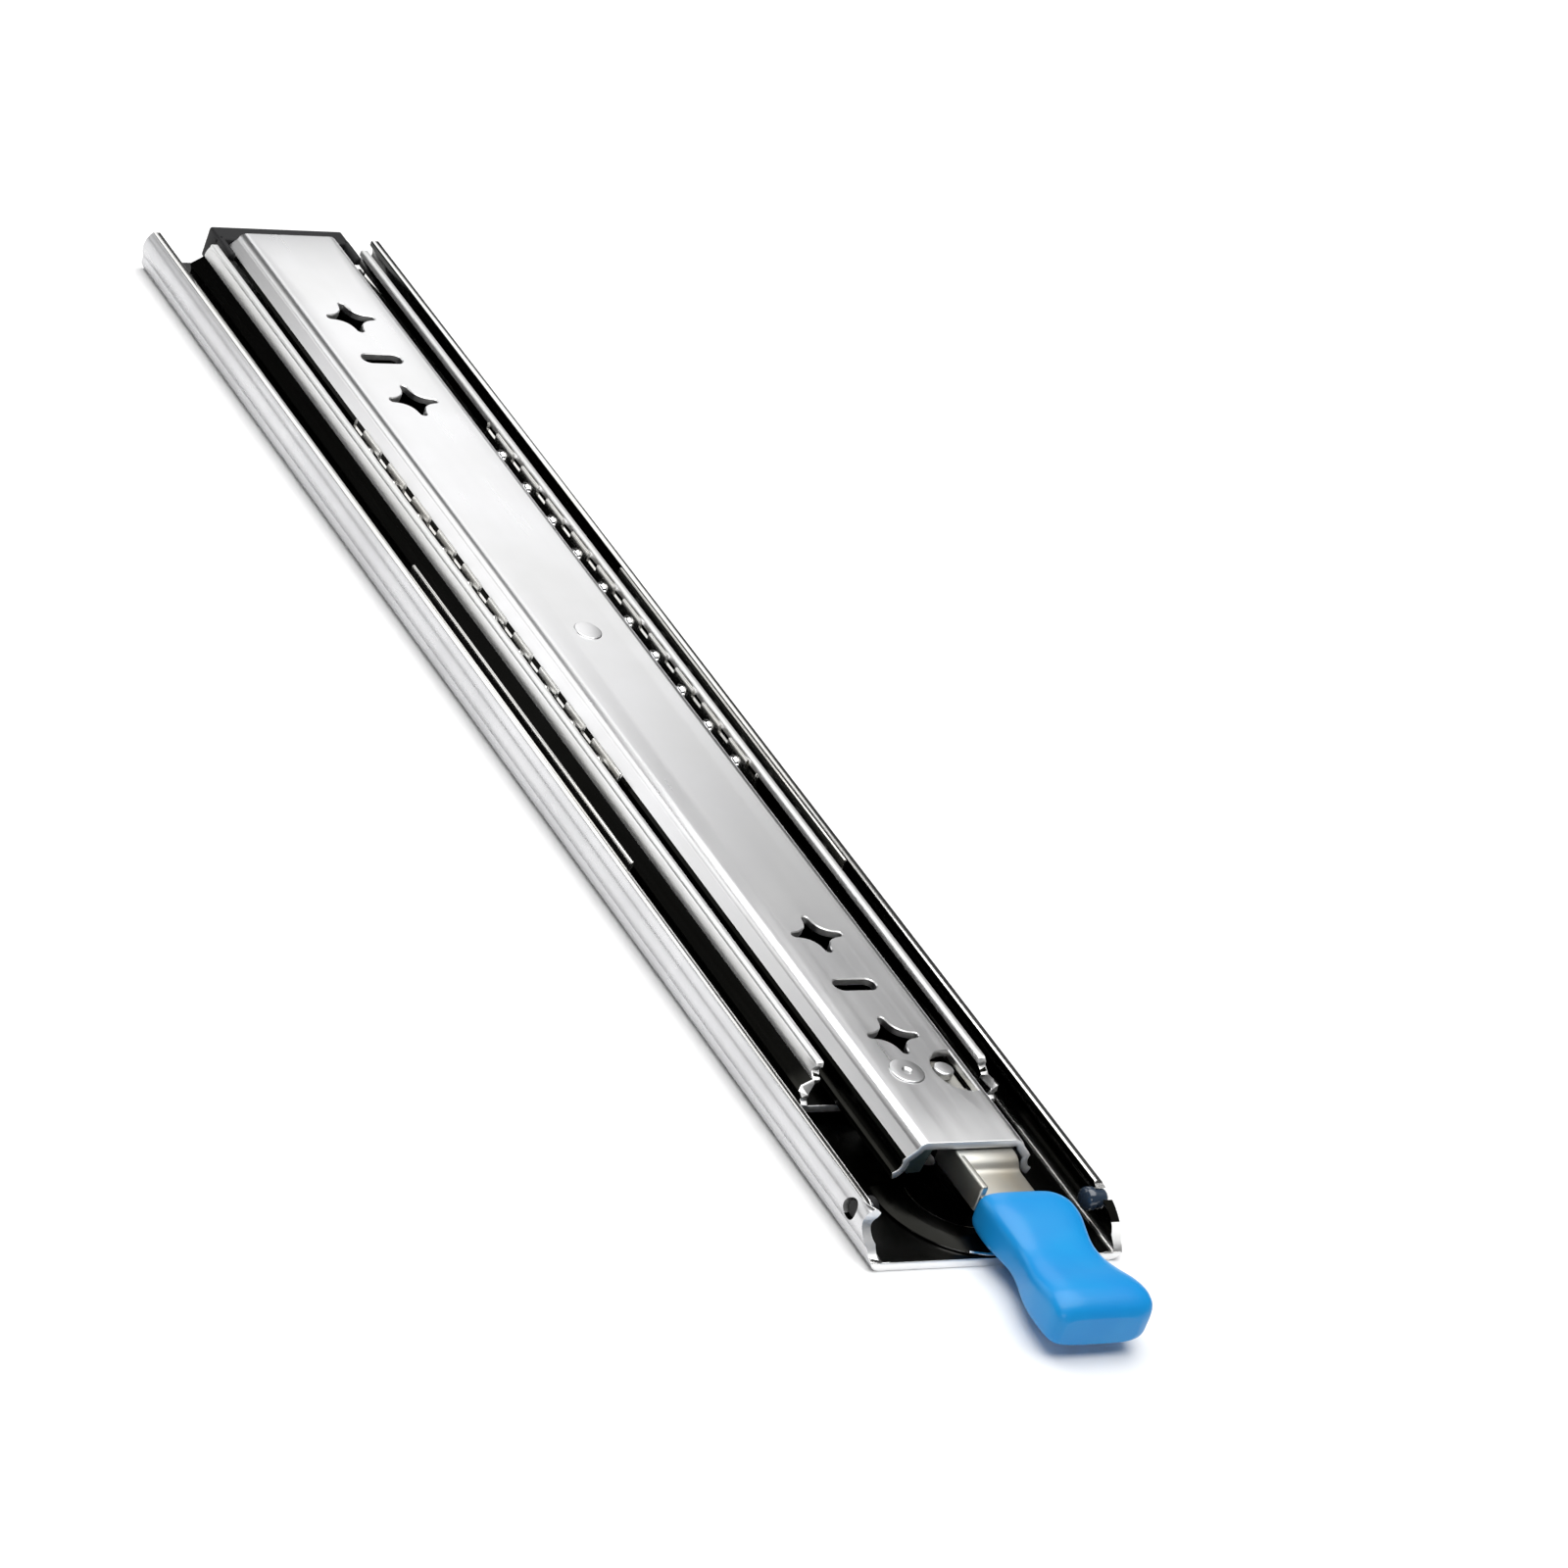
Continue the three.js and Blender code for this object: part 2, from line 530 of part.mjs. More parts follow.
addPiece('drawer_member', drawerMember(), SATIN_ZINC);
addPiece('lever_pivot_rivet', rivet(PIVOT_X, PIVOT_Y, PIVOT_SHANK_DIAMETER / 2, PIVOT_HEAD_DIAMETER / 2,
  LEVER_BOTTOM - 5.6, PIVOT_HEAD_DIAMETER / 2, LEVER_BOTTOM - 4.4), SATIN_ZINC);
addPiece('extension_stop_rivet', rivet(0, STOP_RIVET_Y, STOP_RIVET_RADIUS, STOP_RIVET_RADIUS + 1.5,
  DRAWER_WEB_BOTTOM - 5, STOP_RIVET_RADIUS + 1.5, DRAWER_WEB_BOTTOM - FIT_GAP), SATIN_ZINC);

// ---------------------------------------------------------------- lock lever, its pin, spring and handle
const BAR_TOP = LEVER_TOP - LEVER_STEP_DOWN;
const BAR_BOTTOM = BAR_TOP - LEVER_SHEET;
const BAR_RIGHT = LEVER_LEFT + LEVER_WIDTH;
const HANDLE_REAR = DRAWER_FRONT - 13.5;
const HANDLE_FRONT = HANDLE_REAR - HANDLE_LENGTH;
const HANDLE_X = 8.8;
const STOP_PIN_X = PIVOT_X + STOP_PIN_ARM;
const STOP_PIN_Y = PIVOT_Y + 1.6;
const HUB_LEFT = PIVOT_X - 7.4;
const HUB_WIDTH = 19;
const TONGUE_LENGTH = 30;
const TONGUE_RIGHT = BAR_RIGHT - 1;

// Hub plate, stepped bar, upright wall along its left edge, and the tooth that drops into the catch.
function lockLever() {
  const stepStart = DRAWER_FRONT - 1.5;
  const stepEnd = stepStart - 4.5;
  const hub = plate(slotShape((HUB_LEFT + BAR_RIGHT) / 2, PIVOT_Y, BAR_RIGHT - HUB_LEFT, HUB_WIDTH),
    LEVER_BOTTOM, LEVER_TOP);
  const neck = box(LEVER_LEFT, BAR_RIGHT, stepStart, PIVOT_Y, LEVER_BOTTOM, LEVER_TOP);
  const stepSection = new THREE.Shape();
  stepSection.moveTo(stepStart + 1, LEVER_BOTTOM);
  stepSection.lineTo(stepStart + 1, LEVER_TOP);
  stepSection.lineTo(stepStart, LEVER_TOP);
  stepSection.lineTo(stepEnd, BAR_TOP);
  stepSection.lineTo(HANDLE_REAR - 1, BAR_TOP);
  stepSection.lineTo(HANDLE_REAR - 1, BAR_BOTTOM);
  stepSection.lineTo(stepEnd + 0.6, BAR_BOTTOM);
  stepSection.lineTo(stepStart + 0.6, LEVER_BOTTOM);
  stepSection.closePath();
  const bar = new THREE.ExtrudeGeometry(stepSection, { depth: LEVER_WIDTH, bevelEnabled: false })
    .rotateX(Math.PI / 2).rotateZ(Math.PI / 2).translate(LEVER_LEFT, 0, 0);
  const wall = box(LEVER_LEFT, LEVER_LEFT + LEVER_SHEET, HANDLE_REAR - 1, stepStart + 8,
    LEVER_TOP - LEVER_WALL_DEPTH, LEVER_TOP);
  const tongue = box(LEVER_LEFT + 4, TONGUE_RIGHT, HANDLE_REAR - TONGUE_LENGTH, HANDLE_REAR,
      BAR_BOTTOM, BAR_TOP);
  const toothX = PIVOT_X + 8;
  const toothBottom = CABINET_SHEET + FIT_GAP + CATCH_HEIGHT + 2 * FIT_GAP;
  const tooth = box(toothX, toothX + 5, CATCH_Y - 4, CATCH_Y - 2, toothBottom, BAR_BOTTOM + 0.5);
  const hole = post(PIVOT_X, PIVOT_Y, PIVOT_SHANK_DIAMETER / 2 + FIT_GAP, LEVER_BOTTOM - 1, LEVER_TOP + 1,
    RIVET_SIDES);
  const pinHole = post(STOP_PIN_X, STOP_PIN_Y, STOP_PIN_DIAMETER / 2 - 0.5, LEVER_BOTTOM - 1,
      LEVER_TOP + 1, 16);
  return cut(join([hub, neck, bar, wall, tongue, tooth]), [hole, pinHole]);
}

// Stop pin: a wide end up in the window and a narrower shank through the lever.
function stopPin() {
  const shank = STOP_PIN_DIAMETER / 2 - 0.5 - FIT_GAP;
  return new THREE.LatheGeometry([
    new THREE.Vector2(0, LEVER_BOTTOM),
    new THREE.Vector2(shank, LEVER_BOTTOM),
    new THREE.Vector2(shank, LEVER_TOP + FIT_GAP),
    new THREE.Vector2(STOP_PIN_DIAMETER / 2, LEVER_TOP + FIT_GAP),
    new THREE.Vector2(STOP_PIN_DIAMETER / 2, SLIDE_THICKNESS - 0.9),
    new THREE.Vector2(STOP_PIN_DIAMETER / 2 - 0.6, SLIDE_THICKNESS - 0.4),
    new THREE.Vector2(0, SLIDE_THICKNESS - 0.4),
  ], 12).rotateX(Math.PI / 2).translate(STOP_PIN_X, STOP_PIN_Y, 0);
}

// Hourglass grip outline in plan, symmetrical about its own centreline.
function handleShape() {
  const inset = HANDLE_EDGE_RADIUS;
  const bulb = HANDLE_BULB_WIDTH / 2 - inset;
  const waist = HANDLE_WAIST_WIDTH / 2 - inset;
  const end = HANDLE_END_WIDTH / 2 - inset;
  const rear = HANDLE_REAR - inset;
  const front = HANDLE_FRONT + inset;
  const length = rear - front;
  const right = [
    [bulb * 0.55, 0], [bulb * 0.93, 0.06], [bulb, 0.16], [bulb * 0.96, 0.28], [waist, 0.46],
    [waist * 1.06, 0.58], [end * 0.93, 0.72], [end, 0.8], [end * 0.97, 0.9], [end * 0.84, 1],
  ].map(([x, share]) => new THREE.Vector2(x, rear - length * share));
  const left = right.slice().reverse().map((point) => new THREE.Vector2(-point.x, point.y));
  const shape = new THREE.Shape();
  shape.moveTo(right[0].x, right[0].y);
  shape.splineThru(right.slice(1));
  shape.lineTo(left[0].x, left[0].y);
  shape.splineThru(left.slice(1));
  shape.closePath();
  return shape;
}

function leverHandle() {
  const depth = HANDLE_THICKNESS - 2 * HANDLE_EDGE_RADIUS;
  const body = new THREE.ExtrudeGeometry(handleShape(), {
    depth, curveSegments: 1, bevelEnabled: true, bevelThickness: HANDLE_EDGE_RADIUS,
    bevelSize: HANDLE_EDGE_RADIUS, bevelSegments: 3,
  }).translate(HANDLE_X, 0, HANDLE_BOTTOM + HANDLE_EDGE_RADIUS);
  const relief = box(HANDLE_X - HANDLE_END_WIDTH, HANDLE_X + HANDLE_END_WIDTH, FRONT - 2, HANDLE_REAR + 1,
    0, CABINET_SHEET + FIT_GAP + CATCH_HEIGHT + FIT_GAP);
  const socket = join([
    box(LEVER_LEFT + 4 - FIT_GAP, TONGUE_RIGHT + FIT_GAP, HANDLE_REAR - TONGUE_LENGTH - FIT_GAP,
      HANDLE_REAR + 1, BAR_BOTTOM - FIT_GAP, BAR_TOP + FIT_GAP),
    box(LEVER_LEFT - FIT_GAP, BAR_RIGHT + FIT_GAP, HANDLE_REAR - 1 - FIT_GAP, HANDLE_REAR + 1,
      BAR_BOTTOM - FIT_GAP, BAR_TOP + FIT_GAP),
    box(LEVER_LEFT - FIT_GAP, LEVER_LEFT + LEVER_SHEET + FIT_GAP, HANDLE_REAR - 1 - FIT_GAP, HANDLE_REAR + 1,
      LEVER_TOP - LEVER_WALL_DEPTH - FIT_GAP, LEVER_TOP + FIT_GAP),
  ]);
  return cut(body, [socket, relief]);
}

// Torsion spring round the rivet, with one leg to the flange and one to the lever's wall.
class SpringCurve extends THREE.Curve {
  getPoint(t) {
    const turns = 2.35;
    const radius = 4.6;
    const top = LEVER_BOTTOM - 1;
    const bottom = LEVER_BOTTOM - 3.6;
    const leg = 0.12;
    const coil = THREE.MathUtils.clamp((t - leg) / (1 - 2 * leg), 0, 1);
    const angle = degrees(200) + coil * turns * 2 * Math.PI;
    const z = bottom + (top - bottom) * coil;
    const point = new THREE.Vector3(PIVOT_X + radius * Math.cos(angle),
        PIVOT_Y + radius * Math.sin(angle), z);
    const over = t < leg ? (t - leg) / leg : Math.max((t - 1 + leg) / leg, 0);
    point.x += -Math.sin(angle) * over * 8;
    point.y += Math.cos(angle) * over * 8;
    return point;
  }
}

function leverSpring() {
  return new THREE.ExtrudeGeometry(new THREE.Shape(arc(0, 0, 0.45, 0, 288, 4)), {
    steps: 44, bevelEnabled: false, extrudePath: new SpringCurve(),
  });
}

addPiece('lock_lever', lockLever(), LEVER_STEEL);
addPiece('lever_stop_pin', stopPin(), SATIN_ZINC);
addPiece('lever_spring', leverSpring(), SPRING_STEEL);
addPiece('lever_handle', leverHandle(), BLUE_PLASTIC);

// ---------------------------------------------------------------- ball cages and balls
// A straight or bent retainer strip with a round window per ball.
function cage(path, ballX, ballZ, ballRadius, front, balls) {
  const length = (balls - 1) * CAGE_BALL_PITCH + 2 * CAGE_END_MARGIN;
  const strip = runAlong(sheetOutline(path, CAGE_SHEET), front, front + length);
  const windowRadius = (ballRadius + CAGE_BALL_GAP) / Math.cos(Math.PI / CAGE_WINDOW_SIDES);
  const windows = ballPlaces(front, balls).map((y) =>
    new THREE.CylinderGeometry(windowRadius, windowRadius, 2 * CUT_DEPTH, CAGE_WINDOW_SIDES)
      .rotateZ(Math.PI / 2).translate(ballX, y, ballZ));
  return cut(strip, windows);
}

function ballPlaces(front, balls) {
  return Array.from({ length: balls }, (unused, i) => front + CAGE_END_MARGIN + i * CAGE_BALL_PITCH);
}

const mirrorPath = (path, side) => (side > 0 ? path : path.map((p) => new THREE.Vector2(-p.x, p.y)));
const OUTER_CAGE_FRONT = STOP_Y + 2.8 + MIDDLE_TRAVEL / 2 + 1;

for (const [label, side] of [['left', -1], ['right', 1]]) {
  const outerPath = mirrorPath([
    new THREE.Vector2(OUTER_BALL_X, OUTER_BALL_HEIGHT - 4.1),
    new THREE.Vector2(OUTER_BALL_X, OUTER_BALL_HEIGHT + 5.6),
  ], side);
  const innerPath = mirrorPath([
    new THREE.Vector2(INNER_BALL_X + 1.7, INNER_BALL_HEIGHT - 3.6),
    new THREE.Vector2(INNER_BALL_X, INNER_BALL_HEIGHT),
    new THREE.Vector2(INNER_BALL_X - 0.5, INNER_BALL_HEIGHT + 4.6),
  ], side);
  addPiece(`outer_cage_${label}`, cage(outerPath, side * OUTER_BALL_X, OUTER_BALL_HEIGHT,
    OUTER_BALL_DIAMETER / 2, OUTER_CAGE_FRONT, OUTER_CAGE_BALLS), CAGE_STEEL);
  addPiece(`inner_cage_${label}`, cage(innerPath, side * INNER_BALL_X, INNER_BALL_HEIGHT,
    INNER_BALL_DIAMETER / 2, INNER_CAGE_FRONT, INNER_CAGE_BALLS), CAGE_STEEL);
  ballPlaces(OUTER_CAGE_FRONT, OUTER_CAGE_BALLS).forEach((y, i) => {
    const ball = new THREE.SphereGeometry(OUTER_BALL_DIAMETER / 2, 8, 6);
    addPiece(`outer_ball_${label}_${i + 1}`, ball, BALL_STEEL).position.set(side * OUTER_BALL_X, y,
        OUTER_BALL_HEIGHT);
  });
  ballPlaces(INNER_CAGE_FRONT, INNER_CAGE_BALLS).forEach((y, i) => {
    const ball = new THREE.SphereGeometry(INNER_BALL_DIAMETER / 2, 8, 6);
    addPiece(`inner_ball_${label}_${i + 1}`, ball, BALL_STEEL).position.set(side * INNER_BALL_X, y,
        INNER_BALL_HEIGHT);
  });
}

export default group;
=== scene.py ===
# %% [markdown]
# # A telescopic drawer slide
# Three steel channels run inside each other on rows of balls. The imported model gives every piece
# its place; this lesson rebuilds each one with finer surfaces and gives it a finish.

import json
import math

import bmesh
import bpy
import numpy as np
from mathutils import Matrix, Vector


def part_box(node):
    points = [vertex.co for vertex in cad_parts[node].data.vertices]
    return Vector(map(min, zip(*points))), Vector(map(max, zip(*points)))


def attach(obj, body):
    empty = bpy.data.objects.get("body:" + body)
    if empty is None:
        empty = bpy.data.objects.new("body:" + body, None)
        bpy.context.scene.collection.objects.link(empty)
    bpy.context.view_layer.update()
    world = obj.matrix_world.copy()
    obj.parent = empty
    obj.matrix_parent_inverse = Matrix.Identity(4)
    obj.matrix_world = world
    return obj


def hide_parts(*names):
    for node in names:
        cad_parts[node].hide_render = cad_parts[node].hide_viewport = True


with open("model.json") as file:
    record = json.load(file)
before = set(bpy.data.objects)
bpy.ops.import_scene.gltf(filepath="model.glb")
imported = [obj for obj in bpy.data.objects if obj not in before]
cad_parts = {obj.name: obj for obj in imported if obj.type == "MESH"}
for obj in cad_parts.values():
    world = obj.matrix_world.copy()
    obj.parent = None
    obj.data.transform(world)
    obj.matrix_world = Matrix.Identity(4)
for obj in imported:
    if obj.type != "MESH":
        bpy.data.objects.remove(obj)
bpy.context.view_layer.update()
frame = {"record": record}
MM = 0.001

# %% [markdown]
# ## Reading places from the frame
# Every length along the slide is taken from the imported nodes, in millimetres, so the fine pieces
# sit exactly where the coarse ones do. Only the shape of a rolled section is stated here.

# %% Places, in millimetres


def span(node):
    """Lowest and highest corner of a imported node, in millimetres."""
    low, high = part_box(node)
    return np.array(low) / MM, np.array(high) / MM


CABINET_LOW, CABINET_HIGH = span("cabinet_member")
MIDDLE_LOW, MIDDLE_HIGH = span("middle_member")
DRAWER_LOW, DRAWER_HIGH = span("drawer_member")
HALF_WIDTH = CABINET_HIGH[0]
FACE_HEIGHT = DRAWER_HIGH[2]
CABINET_SHEET = 2.5
INNER_SHEET = 2.2
OUTER_BALL_RADIUS = 3.175
INNER_BALL_RADIUS = 2.5
RACE_CLEARANCE = 0.15
OUTER_RACE = OUTER_BALL_RADIUS + RACE_CLEARANCE
INNER_RACE = INNER_BALL_RADIUS + RACE_CLEARANCE


def centre_of(node):
    """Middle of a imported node's box, in millimetres."""
    low, high = span(node)
    return (low + high) / 2


OUTER_BALL = centre_of("outer_ball_right_1")
INNER_BALL = centre_of("inner_ball_right_1")
PIVOT = centre_of("lever_pivot_rivet")
PIN = centre_of("lever_stop_pin")
print("outer race at x", round(OUTER_BALL[0], 2), "inner race at x", round(INNER_BALL[0], 2))

# %% [markdown]
# ## Turning arrays into meshes
# Each piece begins as an array of points in millimetres. One helper stores it as a mesh in metres
# and keeps an edge sharp only where two faces meet at a real corner, so rolled bends reflect
# smoothly.

# %% Mesh helpers
SHARP_ANGLE = math.radians(32)
MERGE_DISTANCE = 1e-7  # metres


def make_piece(name, points, faces):
    """A mesh object at the origin whose vertices are points * 0.001."""
    mesh = bpy.data.meshes.new(name)
    mesh.from_pydata((np.asarray(points) * MM).tolist(), [], faces)
    mesh.validate()
    mesh.shade_smooth()
    mesh.set_sharp_from_angle(angle=SHARP_ANGLE)
    piece = bpy.data.objects.new(name, mesh)
    bpy.context.scene.collection.objects.link(piece)
    return piece


def ring_faces(rings, around, closed_caps=True):
    """Quads between successive closed rings of the same size, with an n-gon over each end."""
    step = np.arange(rings - 1)[:, None] * around
    here = np.arange(around)[None, :]
    after = (here + 1) % around
    quads = np.stack([step + here, step + after, step + around + after, step + around + here],
                     axis=-1)
    faces = quads.reshape(-1, 4).tolist()
    if closed_caps:
        faces.append(list(range(around))[::-1])
        faces.append(list(range((rings - 1) * around, rings * around)))
    return faces


def outward(piece):
    """Turn every face to point out of the closed shape."""
    work = bmesh.new()
    work.from_mesh(piece.data)
    bmesh.ops.remove_doubles(work, verts=work.verts, dist=MERGE_DISTANCE)
    bmesh.ops.recalc_face_normals(work, faces=work.faces)
    work.to_mesh(piece.data)
    work.free()
    piece.data.shade_smooth()
    piece.data.set_sharp_from_angle(angle=SHARP_ANGLE)
    return piece


def stack(name, rings):
    """Closed shape from an array of rings (ring, point, xyz), capped at both ends."""
    rings = np.asarray(rings, dtype=float)
    count, around = rings.shape[:2]
    return outward(make_piece(name, rings.reshape(-1, 3), ring_faces(count, around)))


def cut_away(piece, cutters):
    """Take every cutter out of the piece, and keep the result as its own mesh."""
    for cutter in cutters:
        step = piece.modifiers.new("cut", "BOOLEAN")
        step.operation = "DIFFERENCE"
        step.solver = "EXACT"
        step.object = cutter
    graph = bpy.context.evaluated_depsgraph_get()
    result = bpy.data.meshes.new_from_object(piece.evaluated_get(graph))
    piece.modifiers.clear()
    piece.data = result
    piece.data.shade_smooth()
    piece.data.set_sharp_from_angle(angle=SHARP_ANGLE)
    for cutter in cutters:
        bpy.data.objects.remove(cutter)
    return piece


def joined(name, parts):
    """One mesh object out of several separate closed shapes."""
    points, faces, start = [], [], 0
    for part in parts:
        mesh = part.data
        block = np.empty(len(mesh.vertices) * 3)
        mesh.vertices.foreach_get("co", block)
        points.append(block.reshape(-1, 3) / MM)
        faces.extend([[start + index for index in face.vertices] for face in mesh.polygons])
        start += len(mesh.vertices)
        bpy.data.objects.remove(part)
    return make_piece(name, np.concatenate(points), faces)


print("corners sharper than", round(math.degrees(SHARP_ANGLE)), "degrees stay sharp")

# %% [markdown]
# ## Rolled sheet
# A channel is one strip of sheet, rolled to a section and cut to length. So the shape is a path in
# X and Z, given a thickness, and carried along Y. The cut edges of real sheet are slightly rounded
# by tumbling and plating: the outline shrinks by a quarter circle over the last few tenths of a
# millimetre.

# %% Sections and sweeps
EDGE_ROUND = 0.35  # radius of every cut edge
GUARD = 0.45  # how far inside a straight run its extra points sit
FADE = 9.0  # length over which a set-back end returns to straight
TIP_TURN = np.radians([25, 50, 75])
TIP_POINTS = 2 * len(TIP_TURN)
LEAST_HALF = 0.05  # half the thickness that is always left at a rounded tip


def arc(x, z, radius, start, end, step=7.0):
    """Points (x + r cos a, z + r sin a) for a from start to end, in degrees."""
    count = max(int(abs(end - start) / step), 2)
    angle = np.radians(np.linspace(start, end, count + 1))
    return np.stack([x + radius * np.cos(angle), z + radius * np.sin(angle)], axis=1)


def guarded(path):
    """Add a point just inside both ends of each long straight run, so its shading stays flat."""
    out = [path[0]]
    for here, there in zip(path[:-1], path[1:]):
        run = there - here
        length = np.hypot(*run)
        if length > 3 * GUARD:
            out += [here + run * GUARD / length, there - run * GUARD / length]
        out.append(there)
    return np.array(out)


def mirrored(half):
    """The whole path from its right half.

    The half's first point, at x = 0, is dropped, so that no hole is cut through an edge there.
    """
    right = half[1:]
    return np.concatenate([right[::-1] * np.array([-1.0, 1.0]), right])


def normals_of(path):
    """Unit normals of an open path, each the mean of its two neighbours, and the mitre factor."""
    run = np.diff(path, axis=0)
    run /= np.linalg.norm(run, axis=1)[:, None]
    before = np.concatenate([run[:1], run])
    after = np.concatenate([run, run[-1:]])
    along = before + after
    along /= np.linalg.norm(along, axis=1)[:, None]
    mitre = 1 / np.clip((along * before).sum(axis=1), 0.6, 1)
    return np.stack([-along[:, 1], along[:, 0]], axis=1), mitre


def outline(path, thickness, inset=0.0):
    """Closed loop round a path: both offset sides and two rounded tips, all pulled in by inset."""
    path = path.copy()
    for end, inner in ((0, 1), (-1, -2)):
        run = path[inner] - path[end]
        path[end] += run * EDGE_ROUND / np.hypot(*run)
    normal, mitre = normals_of(path)
    half = thickness / 2 - inset
    left = path + normal * (half * mitre)[:, None]
    right = path - normal * (half * mitre)[:, None]
    loop = [left]
    for end, sign in ((-1, 1), (0, -1)):
        along = path[end] - path[-2 if end else 1]
        along /= np.hypot(*along)
        side = normal[end] * sign
        reach = EDGE_ROUND - inset
        quarter = np.stack([half - EDGE_ROUND * (1 - np.cos(TIP_TURN)), reach * np.sin(TIP_TURN)],
                           axis=1)
        quarter = np.clip(quarter, [LEAST_HALF, 0], None)
        first = path[end] + quarter[:, :1] * side + quarter[:, 1:] * along
        second = path[end] - quarter[::-1, :1] * side + quarter[::-1, 1:] * along
        loop += [first, second]
        if end:
            loop.append(right[::-1])
    return np.concatenate(loop)


def sheet_caps(rings, around):
    """Quads across the sheet at both ends, each between two outline points on one side of it and
    the two that face them: point i faces point around - 1 - TIP_POINTS - i.
    """
    first = np.arange(-(TIP_POINTS // 2), around // 2 - 1 - TIP_POINTS // 2)
    facing = around - 1 - TIP_POINTS - first
    quads = np.stack([first, first + 1, facing - 1, facing], axis=-1) % around
    return quads.tolist() + (quads + (rings - 1) * around).tolist()


def rounded_ends(low, high):
    """Two lists of (place, inset), one for each end of a piece from low to high.

    For a turn t from 0 to 90 degrees the place is r (1 - cos t) inside the end, and the outline
    there is pulled in by r (1 - sin t), so the cut face has a rounded rim.
    """
    turn = np.radians([0, 30, 60, 90])
    back = EDGE_ROUND * (1 - np.cos(turn))
    inset = EDGE_ROUND * (1 - np.sin(turn))
    return list(zip(low + back, inset)), list(zip(high - back, inset))[::-1]


def channel(name, path_at, thickness, low, high, extra=(), front=None):
    """Sheet section path_at(y) carried along Y from low to high, with rounded cut edges.

    A function front(x, z) sets back the low end, and what it sets back fades out linearly over
    FADE millimetres. Extra places along Y get a ring of their own.
    """
    near_low, near_high = rounded_ends(low, high)
    solid = []
    for y, pulled in near_low + [(y, 0.0) for y in extra] + near_high:
        loop = outline(path_at(y), thickness, pulled)
        along = np.full(len(loop), y)
        if front:
            along += front(loop[:, 0], loop[:, 1]) * max(0, 1 - (y - low) / FADE)
        solid.append(np.column_stack([loop[:, 0], along, loop[:, 1]]))
    rings, around = len(solid), len(solid[0])
    faces = ring_faces(rings, around, closed_caps=False) + sheet_caps(rings, around)
    return outward(make_piece(name, np.concatenate(solid), faces))


print("cut edges are rounded by", EDGE_ROUND, "mm")

# %% [markdown]
# ## Cutters
# Holes are punched through flat sheet. A cutter is an outline raised through the sheet, and it
# flares out by a quarter of a millimetre at the top face, which leaves the small bright rim that a
# punch leaves.

# %% Punches
PUNCH_RIM = 0.28
OVERRUN = 1.0  # how far a cutter passes the sheet on both sides


def grown(outline_points, by):
    """The closed plan outline moved outward by a distance along its corner normals."""
    run = np.roll(outline_points, -1, axis=0) - np.roll(outline_points, 1, axis=0)
    run /= np.linalg.norm(run, axis=1)[:, None]
    return outline_points + np.stack([run[:, 1], -run[:, 0]], axis=1) * by


def punch(name, plan, bottom, top, rim=PUNCH_RIM):
    """Cutter over a counter-clockwise plan outline, wider by rim at the top and bottom faces."""
    heights = [bottom - OVERRUN, bottom, bottom + rim, top - rim, top, top + OVERRUN]
    offsets = [OVERRUN + rim, rim, 0.0, 0.0, rim, OVERRUN + rim]
    return stack(name, [np.column_stack([grown(plan, by), np.full(len(plan), z)])
                        for z, by in zip(heights, offsets)])


def star_plan(x, y, tip=7.5, blunt=1.05, waist=2.4):
    """Four arms with rounded tips.

    Neighbouring arms are joined by curves (1-t)^2 a + 2 t (1-t) w + t^2 b drawn towards a waist
    point w.
    """
    points = []
    t = np.linspace(0, 1, 9)[:, None]
    cap = np.radians([-60, -30, 0, 30, 60])
    for turn in range(4):
        angle = turn * math.pi / 2
        spin = np.array([[math.cos(angle), math.sin(angle)],
                         [-math.sin(angle), math.cos(angle)]])
        end = np.column_stack([tip - blunt + blunt * np.cos(cap), blunt * np.sin(cap)]) @ spin
        points.append(end)
        a = np.array([tip - 1.4 * blunt, blunt]) @ spin
        b = np.array([blunt, tip - 1.4 * blunt]) @ spin
        w = np.array([waist, waist]) @ spin * 0.72
        points.append((1 - t) ** 2 * a + 2 * t * (1 - t) * w + t ** 2 * b)
    return np.concatenate(points) + [x, y]


def slot_plan(x, y, length, width, along_y=False):
    """Two half circles joined by straight sides."""
    angle = np.radians(np.linspace(-90, 90, 13))
    reach = (length - width) / 2
    right = np.column_stack([reach + width / 2 * np.cos(angle), width / 2 * np.sin(angle)])
    plan = np.concatenate([right, -right])
    if along_y:
        plan = np.column_stack([-plan[:, 1], plan[:, 0]])
    return plan + [x, y]


def round_plan(x, y, radius, count=32):
    """Circle (x + r cos a, y + r sin a), turned by half a step.

    No point then lies level with the centre, where a long edge of the sheet could meet it.
    """
    angle = np.linspace(0, 2 * np.pi, count, endpoint=False) + np.pi / count
    return np.column_stack([x + radius * np.cos(angle), y + radius * np.sin(angle)])


print("punched edges flare by", PUNCH_RIM, "mm")

# %% [markdown]
# ## Cabinet member
# The outer channel is screwed to the cabinet. Its walls bulge round the outer balls and end in an
# upright lip. Near the front the lips lean in a little, which keeps the middle member from running
# out.

# %% Cabinet member
LIP_PINCH = 1.5
PINCH_START = 14  # millimetres behind the front end
PINCH_RUN = 6
CABINET_CORNER = 1.9
SCREW_HOLE_RADIUS = 3.25
SCREW_HOLE_PLACES = (40, 104, 168)  # from either end of the member
SCREW_SLOT_PLACE = 72
SCREW_SLOT = (12.6, 6.5)
BUMPER_BORE = 2.75
WALL_FOOT = 2.4  # height at which the shaped wall end begins


